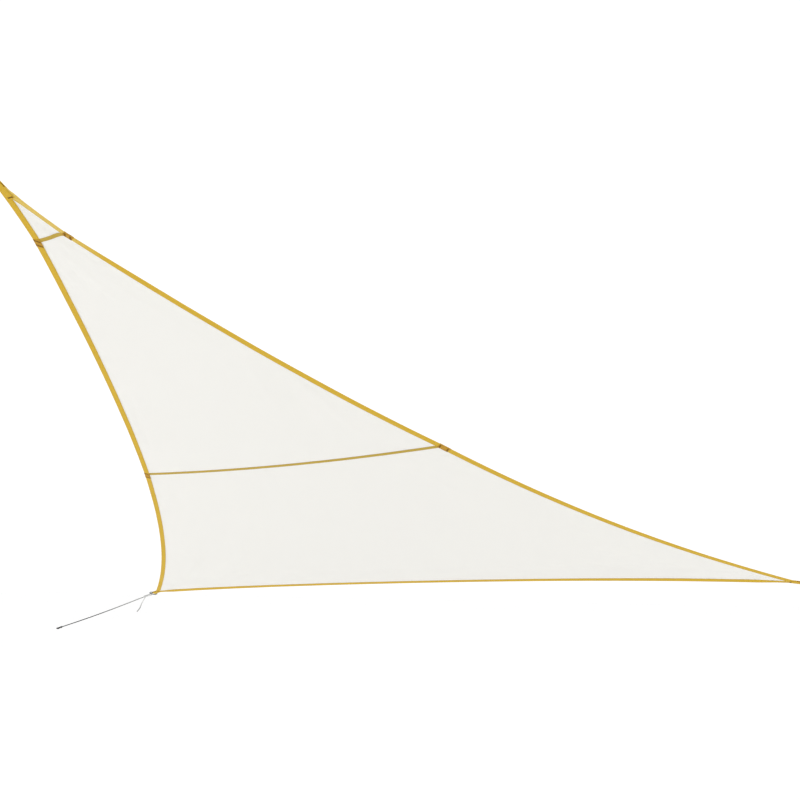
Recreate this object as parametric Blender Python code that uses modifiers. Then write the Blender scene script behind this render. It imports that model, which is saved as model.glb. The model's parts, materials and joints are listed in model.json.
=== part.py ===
"""Triangular shade sail, hung at its three corners: one corner high, two low.

Metres, +Z up. The cloth is modelled flat, in the plane of its three corners, then hangs:
every point drops by the sag of the taut cloth. The plane's own axes are x along the low
edge, y from the top corner towards the low edge, and z out of the upper face. Its origin
is the top corner, where the middle lines of two edge bands cross. The object's origin is
the middle of the top ring's bow, where a hook bears.
"""

import math
from collections import namedtuple

import bmesh
import bpy
from mathutils import Matrix, Vector

# ---- driving dimensions ----
SIDE = 3.6  # corner to corner, between the crossings of the bands' middle lines
SLOPE = math.radians(21.34)  # of the sail's plane, falling from the top corner
BANK = math.radians(1.63)  # the right low corner hangs higher than the left one
SAG_SIDES = 0.0522  # drop of the two upper edges at mid-length
SAG_LOW = 0.0188  # drop of the low edge at mid-length
SAG_MIDDLE = 0.0279  # further drop of the cloth's middle

TIP_SEAM = 0.0516  # seams, as shares of an upper edge from the top corner
MAIN_SEAM = 0.4664

CLOTH = 0.0016
BAND_WIDTH = 0.023
BAND = 0.0011  # webbing of the edge bands, folded over the cloth
TIP_TAPE_WIDTH = 0.012
MAIN_TAPE_WIDTH = 0.016
TAPE = 0.0009
GAP = 0.00035  # between pieces that are sewn together
CLOTH_SETBACK = 0.0022  # cloth edge inside the band's outer edge
CLOTH_TAPER = 0.05  # over this length the cloth's edges close on a low corner
CUT_BEYOND = 0.020  # the bands are cut square this far outside a corner
BAND_CUT = 0.0018  # between two lengths of band at a seam
CLOTH_CUT = 0.0016  # between two panels at a seam

LOOP_WIDTH = 0.023
LOOP = 0.0014
LOOP_REACH_IN = 0.034  # sewn length over a corner
LOOP_OPENS = 0.034  # its legs part this far outside a corner, to go round the ring
WIRE = 0.0050  # ring wire diameter
RING_WIDTH = 0.041  # between wire middles
RING_DEPTH = 0.035
RING_BAR_OUT = 0.060  # the ring's straight bar, outside the corner
RING_CORNER = 0.004
ROUND_GAP = 0.0009  # webbing to ring bar

CORD = 0.0050
CORD_END_OUT = 1.596  # tip of the cord's end loop, outside the left corner
CORD_END_ASIDE = 0.1166  # the cord runs a little off the corner's own line
KNOT_FROM_BOW = 0.095  # middle of the knot that ties the cord to the left ring
KNOT_LENGTH = 0.019
KNOT_WIDTH = 0.0145
KNOT_SWELL = 0.10  # of its wraps, as a share of its radius
KNOT_END = 0.35  # a knot's ends, as a share of its width
END_KNOT_LENGTH = 0.017
END_KNOT_WIDTH = 0.0130
END_LOOP = 0.070  # length of the end loop
END_LOOP_WIDTH = 0.016
STRAND_GAP = 0.0004  # from the cord to what it goes round, and between its two strands

# The taut cord between its knots: share of the way, and how far it droops there.
CORD_ROUTE = (
    (0.00, 0.0000), (0.04, 0.0006), (0.10, 0.0016), (0.18, 0.0028), (0.26, 0.0038),
    (0.34, 0.0046), (0.42, 0.0051), (0.50, 0.0053), (0.58, 0.0052), (0.66, 0.0047),
    (0.74, 0.0039), (0.82, 0.0029), (0.90, 0.0017), (0.96, 0.0007), (1.00, 0.0000),
)
# The loose tail below the knot, as (left in the picture, down).
TAIL_ROUTE = (
    (0.0000, 0.0085), (0.0025, 0.0140), (0.0076, 0.0230), (0.0125, 0.0320), (0.0172, 0.0415),
    (0.0205, 0.0510), (0.0232, 0.0600), (0.0268, 0.0685), (0.0320, 0.0775), (0.0380, 0.0855),
    (0.0440, 0.0930),
)
PICTURE_LEFT = Vector((-0.896, -0.444, 0.0))  # in the object's own axes

HEIGHT = SIDE * math.sqrt(3) / 2

Edge = namedtuple("Edge", "start end depth lean main_kink tip_kink")
EDGES = {
    "left": Edge("top", "left", depth=0.173, lean=0.058, main_kink=0.011, tip_kink=0.0124),
    "upper": Edge("top", "right", depth=0.1657, lean=0.181, main_kink=-0.039, tip_kink=0.018),
    "lower": Edge("left", "right", depth=0.186, lean=0.12, main_kink=0.0, tip_kink=0.0),
}
CORNERS = {
    "top": Vector((0.0, 0.0)),
    "left": Vector((-SIDE / 2, HEIGHT)),
    "right": Vector((SIDE / 2, HEIGHT)),
}
CENTRE = sum(CORNERS.values(), Vector((0.0, 0.0))) / 3

# Folds in the cloth: a line in the sail's plane, how far it stands up, and its half-width.
Crease = namedtuple("Crease", "start end rise half_width")
CREASES = (
    Crease((-0.06, 0.20), (-0.02, 0.44), rise=0.0030, half_width=0.020),
    Crease((0.36, 0.90), (0.31, 1.40), rise=0.0040, half_width=0.040),
    Crease((0.40, 0.97), (0.47, 1.44), rise=-0.0045, half_width=0.034),
    Crease((0.46, 1.00), (0.62, 1.44), rise=0.0050, half_width=0.032),
    Crease((0.53, 1.50), (0.86, 1.82), rise=0.0050, half_width=0.042),
    Crease((-1.41, 3.03), (-0.64, 2.38), rise=-0.0065, half_width=0.045),
    Crease((-1.28, 2.84), (-0.84, 2.28), rise=0.0050, half_width=0.050),
    Crease((-1.15, 2.92), (-0.50, 2.62), rise=0.0045, half_width=0.055),
)
CREASE_CALM = 0.06  # the folds die out over this distance from bands and tapes
STRIP = 1.2  # a panel grid's outer strips are this many bands wide, and stay flat


# ---- the sail's plane, and how the cloth hangs in it ----
def plane_rotation():
    return Matrix.Rotation(-SLOPE, 3, "X") @ Matrix.Rotation(-BANK, 3, "Y")


DOWN = plane_rotation().transposed() @ Vector((0.0, 0.0, -1.0))


def sag(x, y):
    """Drop of the cloth at a point of the plane, from its shares of the three corners."""
    top = 1 - y / HEIGHT
    left = y / (2 * HEIGHT) - x / SIDE
    right = y / (2 * HEIGHT) + x / SIDE
    edges = 4 * (SAG_SIDES * top * (left + right) + SAG_LOW * left * right)
    return edges + 27 * SAG_MIDDLE * top * left * right


def hang(point):
    """A point given in the flat plane, where it is once the cloth hangs."""
    return point + DOWN * sag(point.x, point.y)


def smooth(share):
    share = min(max(share, 0.0), 1.0)
    return share * share * (3 - 2 * share)


def crease_rise(x, y):
    """Height of the folds at a point, before they die out towards a panel's edges."""
    total = 0.0
    for crease in CREASES:
        start, end = Vector(crease.start), Vector(crease.end)
        along = end - start
        offset = Vector((x, y)) - start
        share = offset.dot(along) / along.length_squared
        across = (offset - along * share).length
        ends = smooth(share / 0.25) * smooth((1 - share) / 0.25)
        total += crease.rise * ends * math.exp(-((across / crease.half_width) ** 2))
    return total


# ---- outlines ----
def tent(share, peak):
    return share / peak if share < peak else (1 - share) / (1 - peak)


def middle_line(edge, share):
    """The band's middle line: a chord drawn in towards the sail's middle."""
    start, end = CORNERS[edge.start], CORNERS[edge.end]
    chord = end - start
    inward = Vector((-chord.y, chord.x)).normalized()
    if inward.dot(CENTRE - start) < 0:
        inward.negate()
    bow = 4 * edge.depth * share * (1 - share) * (1 + edge.lean * (2 * share - 1))
    bow += edge.main_kink * tent(share, MAIN_SEAM) + edge.tip_kink * tent(share, TIP_SEAM)
    return start + chord * share + inward * bow


def edge_point(edge, share, inset=0.0):
    """A point of the edge, inset towards the middle of the sail from the middle line."""
    step = 1e-4
    here = middle_line(edge, share)
    run = middle_line(edge, share + step) - middle_line(edge, share - step)
    side = Vector((-run.y, run.x)).normalized()
    if side.dot(CENTRE - here) < 0:
        side.negate()
    return here + side * inset


def outward(corner):
    return (CORNERS[corner] - CENTRE).normalized()


def corner_share(edge, corner, inset):
    """Share of the edge at which a rail of its band clears the mitre and the square cut."""
    away = outward(corner)
    body = middle_line(edge, 0.5) - CORNERS[corner]
    side = Vector((-away.y, away.x))
    if side.dot(body) < 0:
        side.negate()

    def clear(from_corner):
        share = from_corner if corner == edge.start else 1 - from_corner
        offset = edge_point(edge, share, inset) - CORNERS[corner]
        return min(CUT_BEYOND - offset.dot(away), offset.dot(side) - GAP / 2)

    low, high = -0.02, 0.06  # shares between which the rail crosses the mitre
    for _ in range(40):
        middle = (low + high) / 2
        low, high = (low, middle) if clear(middle) > 0 else (middle, high)
    return high if corner == edge.start else 1 - high


# ---- making objects ----
def clear_scene():
    for obj in list(bpy.data.objects):
        bpy.data.objects.remove(obj, do_unlink=True)


def material(name, colour, roughness, metallic=0.0):
    made = bpy.data.materials.new(name)
    made.use_nodes = True
    shader = made.node_tree.nodes["Principled BSDF"]
    shader.inputs["Base Color"].default_value = (*colour, 1.0)
    shader.inputs["Roughness"].default_value = roughness
    shader.inputs["Metallic"].default_value = metallic
    made.diffuse_color = (*colour, 1.0)
    return made


def add_object(name, data, finish, collection, parent):
    data.materials.append(finish)
    obj = bpy.data.objects.new(name, data)
    collection.objects.link(obj)
    obj.parent = parent
    return obj


def loft(name, sections):
    """A closed mesh through sections of equal count, with its two ends filled."""
    mesh = bpy.data.meshes.new(name)
    shape = bmesh.new()
    rings = [[shape.verts.new(point) for point in section] for section in sections]
    for first, second in zip(rings, rings[1:]):
        for i in range(len(first)):
            j = (i + 1) % len(first)
            shape.faces.new((first[i], first[j], second[j], second[i]))
    shape.faces.new(reversed(rings[0]))
    shape.faces.new(rings[-1])
    if shape.calc_volume(signed=True) < 0:
        bmesh.ops.reverse_faces(shape, faces=shape.faces)
    shape.to_mesh(mesh)
    shape.free()
    return mesh


def tube(name, points, diameter, closed=False):
    """A round cord or wire along points."""
    curve = bpy.data.curves.new(name, "CURVE")
    curve.dimensions = "3D"
    curve.bevel_depth = diameter / 2
    curve.bevel_resolution = 2
    curve.use_fill_caps = not closed
    spline = curve.splines.new("POLY")
    spline.points.add(len(points) - 1)
    for target, point in zip(spline.points, points):
        target.co = (*point, 1.0)
    spline.use_cyclic_u = closed
    return curve


# ---- cloth ----
def spread(share, steps, length):
    """A grid line's share of a length, with the outer two strips as wide as a band."""
    strip = min(STRIP * BAND_WIDTH / length, 1 / steps)
    inner = strip + (1 - 2 * strip) * (share * steps - 1) / (steps - 2)
    return min(max(inner, 0.0), 1.0) if 0.5 < share * steps < steps - 0.5 else round(share)


def panel(name, corner_points, sides, columns, rows):
    """One cloth panel: a flat grid fitted to its four sides, creased, hung and thickened.

    sides are four functions of a share from 0 to 1: top and low run left to right, left
    and right run top to low. corner_points are top left, top right, low left, low right.
    """
    top, low, left, right = sides
    mesh = bpy.data.meshes.new(name)
    shape = bmesh.new()
    bmesh.ops.create_grid(shape, x_segments=columns, y_segments=rows, size=0.5)
    for vertex in shape.verts:
        u, v = vertex.co.x + 0.5, vertex.co.y + 0.5
        v = spread(v, rows, (low(u) - top(u)).length / 2)
        u = spread(u, columns, (right(v) - left(v)).length)
        flat = top(u) * (1 - v) + low(u) * v + left(v) * (1 - u) + right(v) * u
        flat -= (corner_points[0] * (1 - u) + corner_points[1] * u) * (1 - v)
        flat -= (corner_points[2] * (1 - u) + corner_points[3] * u) * v
        to_side = min(u, 1 - u) * (right(v) - left(v)).length
        to_seam = min(v, 1 - v) * (low(u) - top(u)).length / 2
        calm = smooth((to_side - BAND_WIDTH) / CREASE_CALM)
        calm *= smooth((to_seam - BAND_WIDTH) / CREASE_CALM)
        rise = crease_rise(flat.x, flat.y) * calm
        vertex.co = hang(Vector((flat.x, flat.y, rise)))
    bmesh.ops.recalc_face_normals(shape, faces=shape.faces)
    shape.to_mesh(mesh)
    shape.free()
    mesh.shade_smooth()
    return mesh


def thicken(obj, thickness):
    solidify = obj.modifiers.new("thickness", "SOLIDIFY")
    solidify.thickness = thickness
    solidify.offset = 0.0


def cloth_edge(edge_name, share):
    """The cloth's own edge inside its band. It closes on the corner at the low corners."""
    edge = EDGES[edge_name]
    inset = CLOTH_SETBACK - BAND_WIDTH / 2
    to_low_corner = (1 - share) if edge.start == "top" else min(share, 1 - share)
    return edge_point(edge, share, inset * min(to_low_corner * SIDE / CLOTH_TAPER, 1.0))


def span_panel(name, start, end, columns, rows):
    """A panel between two cuts across the sail, given as shares of the upper edges."""
    corners = [cloth_edge(side, share) for share in (start, end) for side in ("left", "upper")]

    def along(side):
        return lambda v: cloth_edge(side, start + (end - start) * v)

    def across(first, second):
        return lambda u: first.lerp(second, u)

    def low_edge(u):
        return cloth_edge("lower", u)

    low = low_edge if end == 1.0 else across(corners[2], corners[3])
    sides = (across(corners[0], corners[1]), low, along("left"), along("upper"))
    return panel(name, corners, sides, columns, rows)


def panels(finish, collection, parent):
    half_cut = CLOTH_CUT / 2 / SIDE
    spans = (
        ("panel_tip", 0.0, TIP_SEAM - half_cut, 6, 6),
        ("panel_middle", TIP_SEAM + half_cut, MAIN_SEAM - half_cut, 24, 28),
        ("panel_base", MAIN_SEAM + half_cut, 1.0, 44, 24),
    )
    for name, start, end, columns, rows in spans:
        mesh = span_panel(name, start, end, columns, rows)
        thicken(add_object(name, mesh, finish, collection, parent), CLOTH)


# ---- edge bands and seam tapes ----
def band_section():
    """Webbing folded over the cloth's edge, as (inset, height) points round its section."""
    outer, lip = -BAND_WIDTH / 2, BAND_WIDTH / 2
    inside = CLOTH / 2 + GAP
    face = inside + BAND
    upper = [(outer, face), (lip, face), (lip, inside), (outer + BAND, inside)]
    return upper + [(inset, -height) for inset, height in reversed(upper)]


def band(name, edge, start, end, stations):
    """One length of band. start and end are a share of the edge, or None at a corner."""
    rails = []
    for inset, height in band_section():
        first = corner_share(edge, edge.start, inset) if start is None else start
        last = corner_share(edge, edge.end, inset) if end is None else end
        rail = []
        for i in range(stations + 1):
            flat = edge_point(edge, first + (last - first) * i / stations, inset)
            rail.append(hang(Vector((flat.x, flat.y, height))))
        rails.append(rail)
    return loft(name, list(zip(*rails)))


def bands(finish, collection, parent):
    half_cut = BAND_CUT / 2 / SIDE
    for side in ("left", "upper"):
        edge = EDGES[side]
        lengths = (
            ("tip", None, TIP_SEAM - half_cut, 4),
            ("middle", TIP_SEAM + half_cut, MAIN_SEAM - half_cut, 14),
            ("base", MAIN_SEAM + half_cut, None, 18),
        )
        for part, start, end, stations in lengths:
            name = f"band_{side}_{part}"
            add_object(name, band(name, edge, start, end, stations), finish, collection, parent)
    name = "band_lower"
    mesh = band(name, EDGES["lower"], None, None, 30)
    add_object(name, mesh, finish, collection, parent)


def seam_tape(name, share, width, stations):
    """A tape under a seam, from the lip of one band to the lip of the other."""
    top = -(CLOTH / 2 + GAP)
    inset = BAND_WIDTH / 2 + 2 * GAP
    half = width / 2 / HEIGHT
    sections = []
    for i in range(stations + 1):
        section = []
        for shift, height in ((-half, top), (half, top), (half, top - TAPE), (-half, top - TAPE)):
            left = edge_point(EDGES["left"], share + shift, inset)
            right = edge_point(EDGES["upper"], share + shift, inset)
            flat = left.lerp(right, i / stations)
            section.append(hang(Vector((flat.x, flat.y, height))))
        sections.append(section)
    return loft(name, sections)


# ---- corners ----
def at_corner(corner, out, aside, height):
    """A point near a corner: out along its line, aside to the left of it, and up."""
    away = outward(corner)
    flat = CORNERS[corner] + away * out + Vector((-away.y, away.x)) * aside
    return Vector((flat.x, flat.y, height))


def corner_loop(name, corner):
    """Webbing folded round the ring's bar, its two legs sewn over and under the corner."""
    leg = CLOTH / 2 + 2 * GAP + BAND + LOOP / 2
    eye = WIRE / 2 + ROUND_GAP + LOOP / 2
    upper = [(-LOOP_REACH_IN, leg), (-LOOP_REACH_IN / 2, leg), (0.0, leg), (LOOP_OPENS, leg)]
    upper.append((RING_BAR_OUT - 3 * eye, eye))
    turn = [
        (RING_BAR_OUT + eye * math.sin(angle), eye * math.cos(angle))
        for angle in (math.pi * i / 12 for i in range(13))
    ]
    path = upper + turn + [(out, -height) for out, height in reversed(upper)]
    sections = []
    for i, (out, height) in enumerate(path):
        before, after = path[max(i - 1, 0)], path[min(i + 1, len(path) - 1)]
        run = Vector((after[0] - before[0], after[1] - before[1])).normalized()
        shift = Vector((-run.y, run.x)) * (LOOP / 2)
        outer = (out + shift.x, height + shift.y)
        inner = (out - shift.x, height - shift.y)
        half = LOOP_WIDTH / 2
        faces = ((*outer, half), (*inner, half), (*inner, -half), (*outer, -half))
        sections.append([hang(at_corner(corner, o, aside, h)) for o, h, aside in faces])
    return loft(name, sections)


def cord_end():
    """Tip of the cord's end loop. The cord pulls in the flat plane, under the hung cloth's."""
    return at_corner("left", CORD_END_OUT, CORD_END_ASIDE, 0)


def ring_frame(corner):
    """Place of a ring's bar, with its columns aside, outward and up from the ring.

    A ring lies in the line of its corner. The left one turns on its bar to face the cord.
    """
    step = 0.001
    here = hang(at_corner(corner, RING_BAR_OUT, 0, 0))
    aside = (here - hang(at_corner(corner, RING_BAR_OUT, step, 0))).normalized()
    away = hang(at_corner(corner, RING_BAR_OUT + step, 0, 0)) - here
    if corner == "left":
        away = cord_end() - here
    up = aside.cross(away).normalized()
    axes = Matrix((aside, up.cross(aside), up)).transposed()
    return Matrix.Translation(here) @ axes.to_4x4()


def arc(centre_x, centre_y, radius, first, last, steps):
    """Points of an arc in the x-y plane, from the first to the last angle in degrees."""
    angles = [math.radians(first + (last - first) * i / steps) for i in range(steps + 1)]
    return [
        Vector((centre_x + radius * math.cos(a), centre_y + radius * math.sin(a), 0.0))
        for a in angles
    ]


def ring(name):
    """A D ring in its own x-y plane: bar on the x axis, bow towards +y."""
    half = RING_WIDTH / 2
    outline = arc(RING_CORNER - half, RING_CORNER, RING_CORNER, 180, 270, 3)
    outline += arc(half - RING_CORNER, RING_CORNER, RING_CORNER, 270, 360, 3)
    outline += arc(0.0, RING_DEPTH - half, half, 0, 180, 16)
    return tube(name, outline, WIRE, closed=True)


def corners(webbing, steel, collection, parent):
    for corner in CORNERS:
        name = f"loop_{corner}"
        add_object(name, corner_loop(name, corner), webbing, collection, parent)
        name = f"ring_{corner}"
        made = add_object(name, ring(name), steel, collection, parent)
        made.matrix_local = ring_frame(corner)


# ---- the cord at the left corner ----
def bow_middle(corner):
    """Middle of the wire at the far side of a corner's ring."""
    return ring_frame(corner) @ Vector((0.0, RING_DEPTH, 0.0))


class CordLine:
    """The taut cord's own axes: along from the ring's bow to the end, aside, and up."""

    def __init__(self):
        self.start = bow_middle("left")
        run = cord_end() - self.start
        self.length = run.length
        self.along = run.normalized()
        self.aside = Vector((0.0, 0.0, 1.0)).cross(self.along).normalized()
        self.up = self.along.cross(self.aside)

    def at(self, along, aside=0.0, up=0.0):
        return self.start + self.along * along + self.aside * aside + self.up * up


def curve_through(points, steps):
    """Points along a smooth curve through the given ones, steps for each stretch."""
    ends = [points[0] * 2 - points[1], *points, points[-1] * 2 - points[-2]]
    found = []
    for a, b, c, d in zip(ends, ends[1:], ends[2:], ends[3:]):
        for i in range(steps):
            t = i / steps
            pull = b * 2 + (c - a) * t + (a * 2 - b * 5 + c * 4 - d) * t * t
            found.append((pull + (b * 3 - a - c * 3 + d) * t**3) / 2)
    return [*found, points[-1]]


def knot(name, line, middle, length, width):
    """A tight knot: a turned body with the swell of two wraps, along the cord."""
    sections = []
    steps, sides, wraps, bluntness = 12, 12, 2, 0.6
    for i in range(steps + 1):
        share = i / steps
        swell = 1 - KNOT_SWELL * math.cos(2 * math.pi * wraps * share)
        taper = max(math.sin(math.pi * share), KNOT_END) ** bluntness
        radius = width / 2 / (1 + KNOT_SWELL) * swell * taper
        turn = [2 * math.pi * k / sides for k in range(sides)]
        place = middle + (share - 0.5) * length
        sections.append(
            [line.at(place, radius * math.cos(a), radius * math.sin(a)) for a in turn]
        )
    return loft(name, sections)


def ring_eye(line):
    """The cord's loop round the ring's bow, from the knot and back to it."""
    turn = (WIRE + CORD) / 2 + STRAND_GAP
    strand = (CORD + STRAND_GAP) / 2
    end = KNOT_FROM_BOW - KNOT_LENGTH / 2 - GAP
    steps = 6
    upper = []
    for i in range(steps):
        share = i / steps
        upper.append((end * (1 - share), strand + (turn - strand) * share))
    angles = [math.radians(90 + 15 * i) for i in range(13)]
    path = upper + [(turn * math.cos(a), turn * math.sin(a)) for a in angles]
    path += [(along, -up) for along, up in reversed(upper)]
    return [line.at(along, 0.0, up) for along, up in path]


def end_loop(line, start):
    """The narrow loop at the cord's far end, from its knot and back to it."""
    strand = (CORD + STRAND_GAP) / 2
    turn = (END_LOOP_WIDTH - CORD) / 2
    centre = line.length - CORD / 2 - turn
    upper = [(start, strand)]
    for share in (0.2, 0.4, 0.6, 0.8):
        upper.append((start + (centre - start) * share, strand + (turn - strand) * smooth(share)))
    angles = [math.radians(90 - 20 * i) for i in range(10)]
    path = upper + [(centre + turn * math.cos(a), turn * math.sin(a)) for a in angles]
    path += [(along, -aside) for along, aside in reversed(upper)]
    return [line.at(along, aside) for along, aside in path]


def cord(finish, collection, parent):
    line = CordLine()
    first = KNOT_FROM_BOW + KNOT_LENGTH / 2 + GAP
    end_knot = line.length - END_LOOP - END_KNOT_LENGTH / 2
    last = end_knot - END_KNOT_LENGTH / 2 - GAP
    route = [
        line.at(first + (last - first) * share) + DOWN * droop for share, droop in CORD_ROUTE
    ]
    to_plane = plane_rotation().transposed()
    below = line.at(KNOT_FROM_BOW)
    hanging = [below + to_plane @ PICTURE_LEFT * left + DOWN * down for left, down in TAIL_ROUTE]
    loop_start = end_knot + END_KNOT_LENGTH / 2 + GAP
    pieces = (
        ("cord_eye", tube("cord_eye", ring_eye(line), CORD)),
        ("cord_knot", knot("cord_knot", line, KNOT_FROM_BOW, KNOT_LENGTH, KNOT_WIDTH)),
        ("cord_line", tube("cord_line", curve_through(route, 3), CORD)),
        ("cord_tail", tube("cord_tail", curve_through(hanging, 1), CORD)),
        ("cord_end_knot", knot("cord_end_knot", line, end_knot, END_KNOT_LENGTH, END_KNOT_WIDTH)),
        ("cord_end_loop", tube("cord_end_loop", end_loop(line, loop_start), CORD)),
    )
    for name, data in pieces:
        add_object(name, data, finish, collection, parent)


# ---- the sail ----
def main():
    clear_scene()
    sail = bpy.data.collections.new("shade_sail")
    bpy.context.scene.collection.children.link(sail)
    plane = bpy.data.objects.new("sail_plane", None)
    sail.objects.link(plane)
    turn = plane_rotation().to_4x4()
    plane.matrix_world = Matrix.Translation(-(turn @ bow_middle("top"))) @ turn

    cloth = material("cloth_offwhite", (0.88, 0.87, 0.83), 0.85)
    webbing = material("webbing_gold", (0.67, 0.43, 0.056), 0.7)
    steel = material("steel_brushed", (0.55, 0.56, 0.55), 0.35, metallic=1.0)
    rope = material("cord_grey", (0.55, 0.55, 0.53), 0.8)

    panels(cloth, sail, plane)
    bands(webbing, sail, plane)
    tapes = (
        ("seam_tape_tip", TIP_SEAM, TIP_TAPE_WIDTH, 4),
        ("seam_tape_main", MAIN_SEAM, MAIN_TAPE_WIDTH, 20),
    )
    for name, share, width, stations in tapes:
        mesh = seam_tape(name, share, width, stations)
        add_object(name, mesh, webbing, sail, plane)
    corners(webbing, steel, sail, plane)
    cord(rope, sail, plane)


main()
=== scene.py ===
"""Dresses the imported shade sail: cloth, edge bands, seam tapes, corner loops, rings and cord.

Metres, +Z up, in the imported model's own frame. Every piece follows the sail's own plane: x runs
along the low edge, y from the top corner towards the low edge and z out of the upper face. The
flat cut is laid out there, then hangs, and then turns into the frame.
"""

import json
import logging
import math
from dataclasses import dataclass
from enum import Enum
from functools import cached_property
from typing import Any, Callable, Iterable, Sequence, Union

import bmesh
import bpy
from mathutils import Matrix, Vector, noise

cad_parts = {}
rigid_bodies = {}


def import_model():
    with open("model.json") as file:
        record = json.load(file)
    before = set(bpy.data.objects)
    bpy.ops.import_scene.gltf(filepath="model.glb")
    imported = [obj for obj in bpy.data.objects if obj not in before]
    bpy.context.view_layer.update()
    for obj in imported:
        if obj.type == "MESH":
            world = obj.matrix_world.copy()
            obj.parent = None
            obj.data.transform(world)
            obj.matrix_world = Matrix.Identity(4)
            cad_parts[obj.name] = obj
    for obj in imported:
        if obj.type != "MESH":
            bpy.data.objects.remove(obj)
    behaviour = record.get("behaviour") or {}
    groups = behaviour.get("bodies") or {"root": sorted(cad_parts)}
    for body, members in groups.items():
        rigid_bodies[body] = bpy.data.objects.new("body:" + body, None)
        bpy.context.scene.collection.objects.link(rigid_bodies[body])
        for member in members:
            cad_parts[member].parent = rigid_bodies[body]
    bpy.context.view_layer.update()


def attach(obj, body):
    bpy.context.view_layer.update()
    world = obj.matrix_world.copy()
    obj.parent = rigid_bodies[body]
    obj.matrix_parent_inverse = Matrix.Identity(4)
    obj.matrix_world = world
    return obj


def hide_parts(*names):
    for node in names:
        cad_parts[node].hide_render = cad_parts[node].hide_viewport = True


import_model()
LOG = logging.getLogger("shade_sail")
BODY = "root"
SHARP_ANGLE = math.radians(50)  # creases that turn more than this aren't shaded smooth


class Corner(Enum):
    """A corner of the sail."""

    TOP = "top"
    LEFT = "left"
    RIGHT = "right"


class Side(Enum):
    """An edge of the sail."""

    LEFT = "left"
    UPPER = "upper"
    LOWER = "lower"


class Face(Enum):
    """A face of the sail, with the sign of its height over the sail's plane."""

    UPPER = 1.0
    UNDER = -1.0


def smooth(share: float) -> float:
    """Eases a share between 0 and 1, and holds it there outside."""
    share = min(max(share, 0.0), 1.0)
    return share * share * (3 - 2 * share)


def tent(share: float, peak: float) -> float:
    """Rises evenly from 0 to 1 at the peak, and falls evenly to 0 at share 1."""
    return share / peak if share < peak else (1 - share) / (1 - peak)


def shares(steps: int) -> list[float]:
    """Evenly spaced shares from 0 to 1, both of these among them."""
    return [i / steps for i in range(steps + 1)]


def square_to(way: Vector, towards: Vector) -> Vector:
    """Direction square to a way in the plane, on the side to which another vector points."""
    side = Vector((-way.y, way.x)).normalized()
    return -side if side.dot(towards) < 0 else side


def path_length(points: Sequence[Vector]) -> float:
    """Length of the line through the points."""
    return sum((b - a).length for a, b in zip(points, points[1:]))


def curve_through(points: Sequence[Vector], steps: int) -> list[Vector]:
    """Runs a smooth curve through points.

    Args:
        points: Places that the curve passes, in order.
        steps: Points made for each stretch between two of them.

    Returns:
        Points along the curve, its two ends among them.
    """
    ends = [points[0] * 2 - points[1], *points, points[-1] * 2 - points[-2]]
    found = []
    for a, b, c, d in zip(ends, ends[1:], ends[2:], ends[3:]):
        for i in range(steps):
            t = i / steps
            pull = b * 2 + (c - a) * t + (a * 2 - b * 5 + c * 4 - d) * t * t
            found.append((pull + (b * 3 - a - c * 3 + d) * t**3) / 2)
    return [*found, points[-1]]


# ---- the hung sail's shape ----
@dataclass(frozen=True)
class Edge:
    """One concave edge: a chord between two corners, drawn in towards the sail's middle.

    tip_flare is how far the edge spreads outwards again over the top corner, from the first seam.
    """

    start: Corner
    end: Corner
    depth: float
    lean: float
    main_kink: float = 0.0
    tip_kink: float = 0.0
    tip_flare: float = 0.0


EDGES = {
    Side.LEFT: Edge(Corner.TOP, Corner.LEFT, 0.173, 0.058, main_kink=0.011, tip_kink=0.0124,
                    tip_flare=0.0085),
    Side.UPPER: Edge(Corner.TOP, Corner.RIGHT, 0.1657, 0.181, main_kink=-0.039, tip_kink=0.018,
                     tip_flare=0.004),
    Side.LOWER: Edge(Corner.LEFT, Corner.RIGHT, 0.186, 0.12),
}


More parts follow.
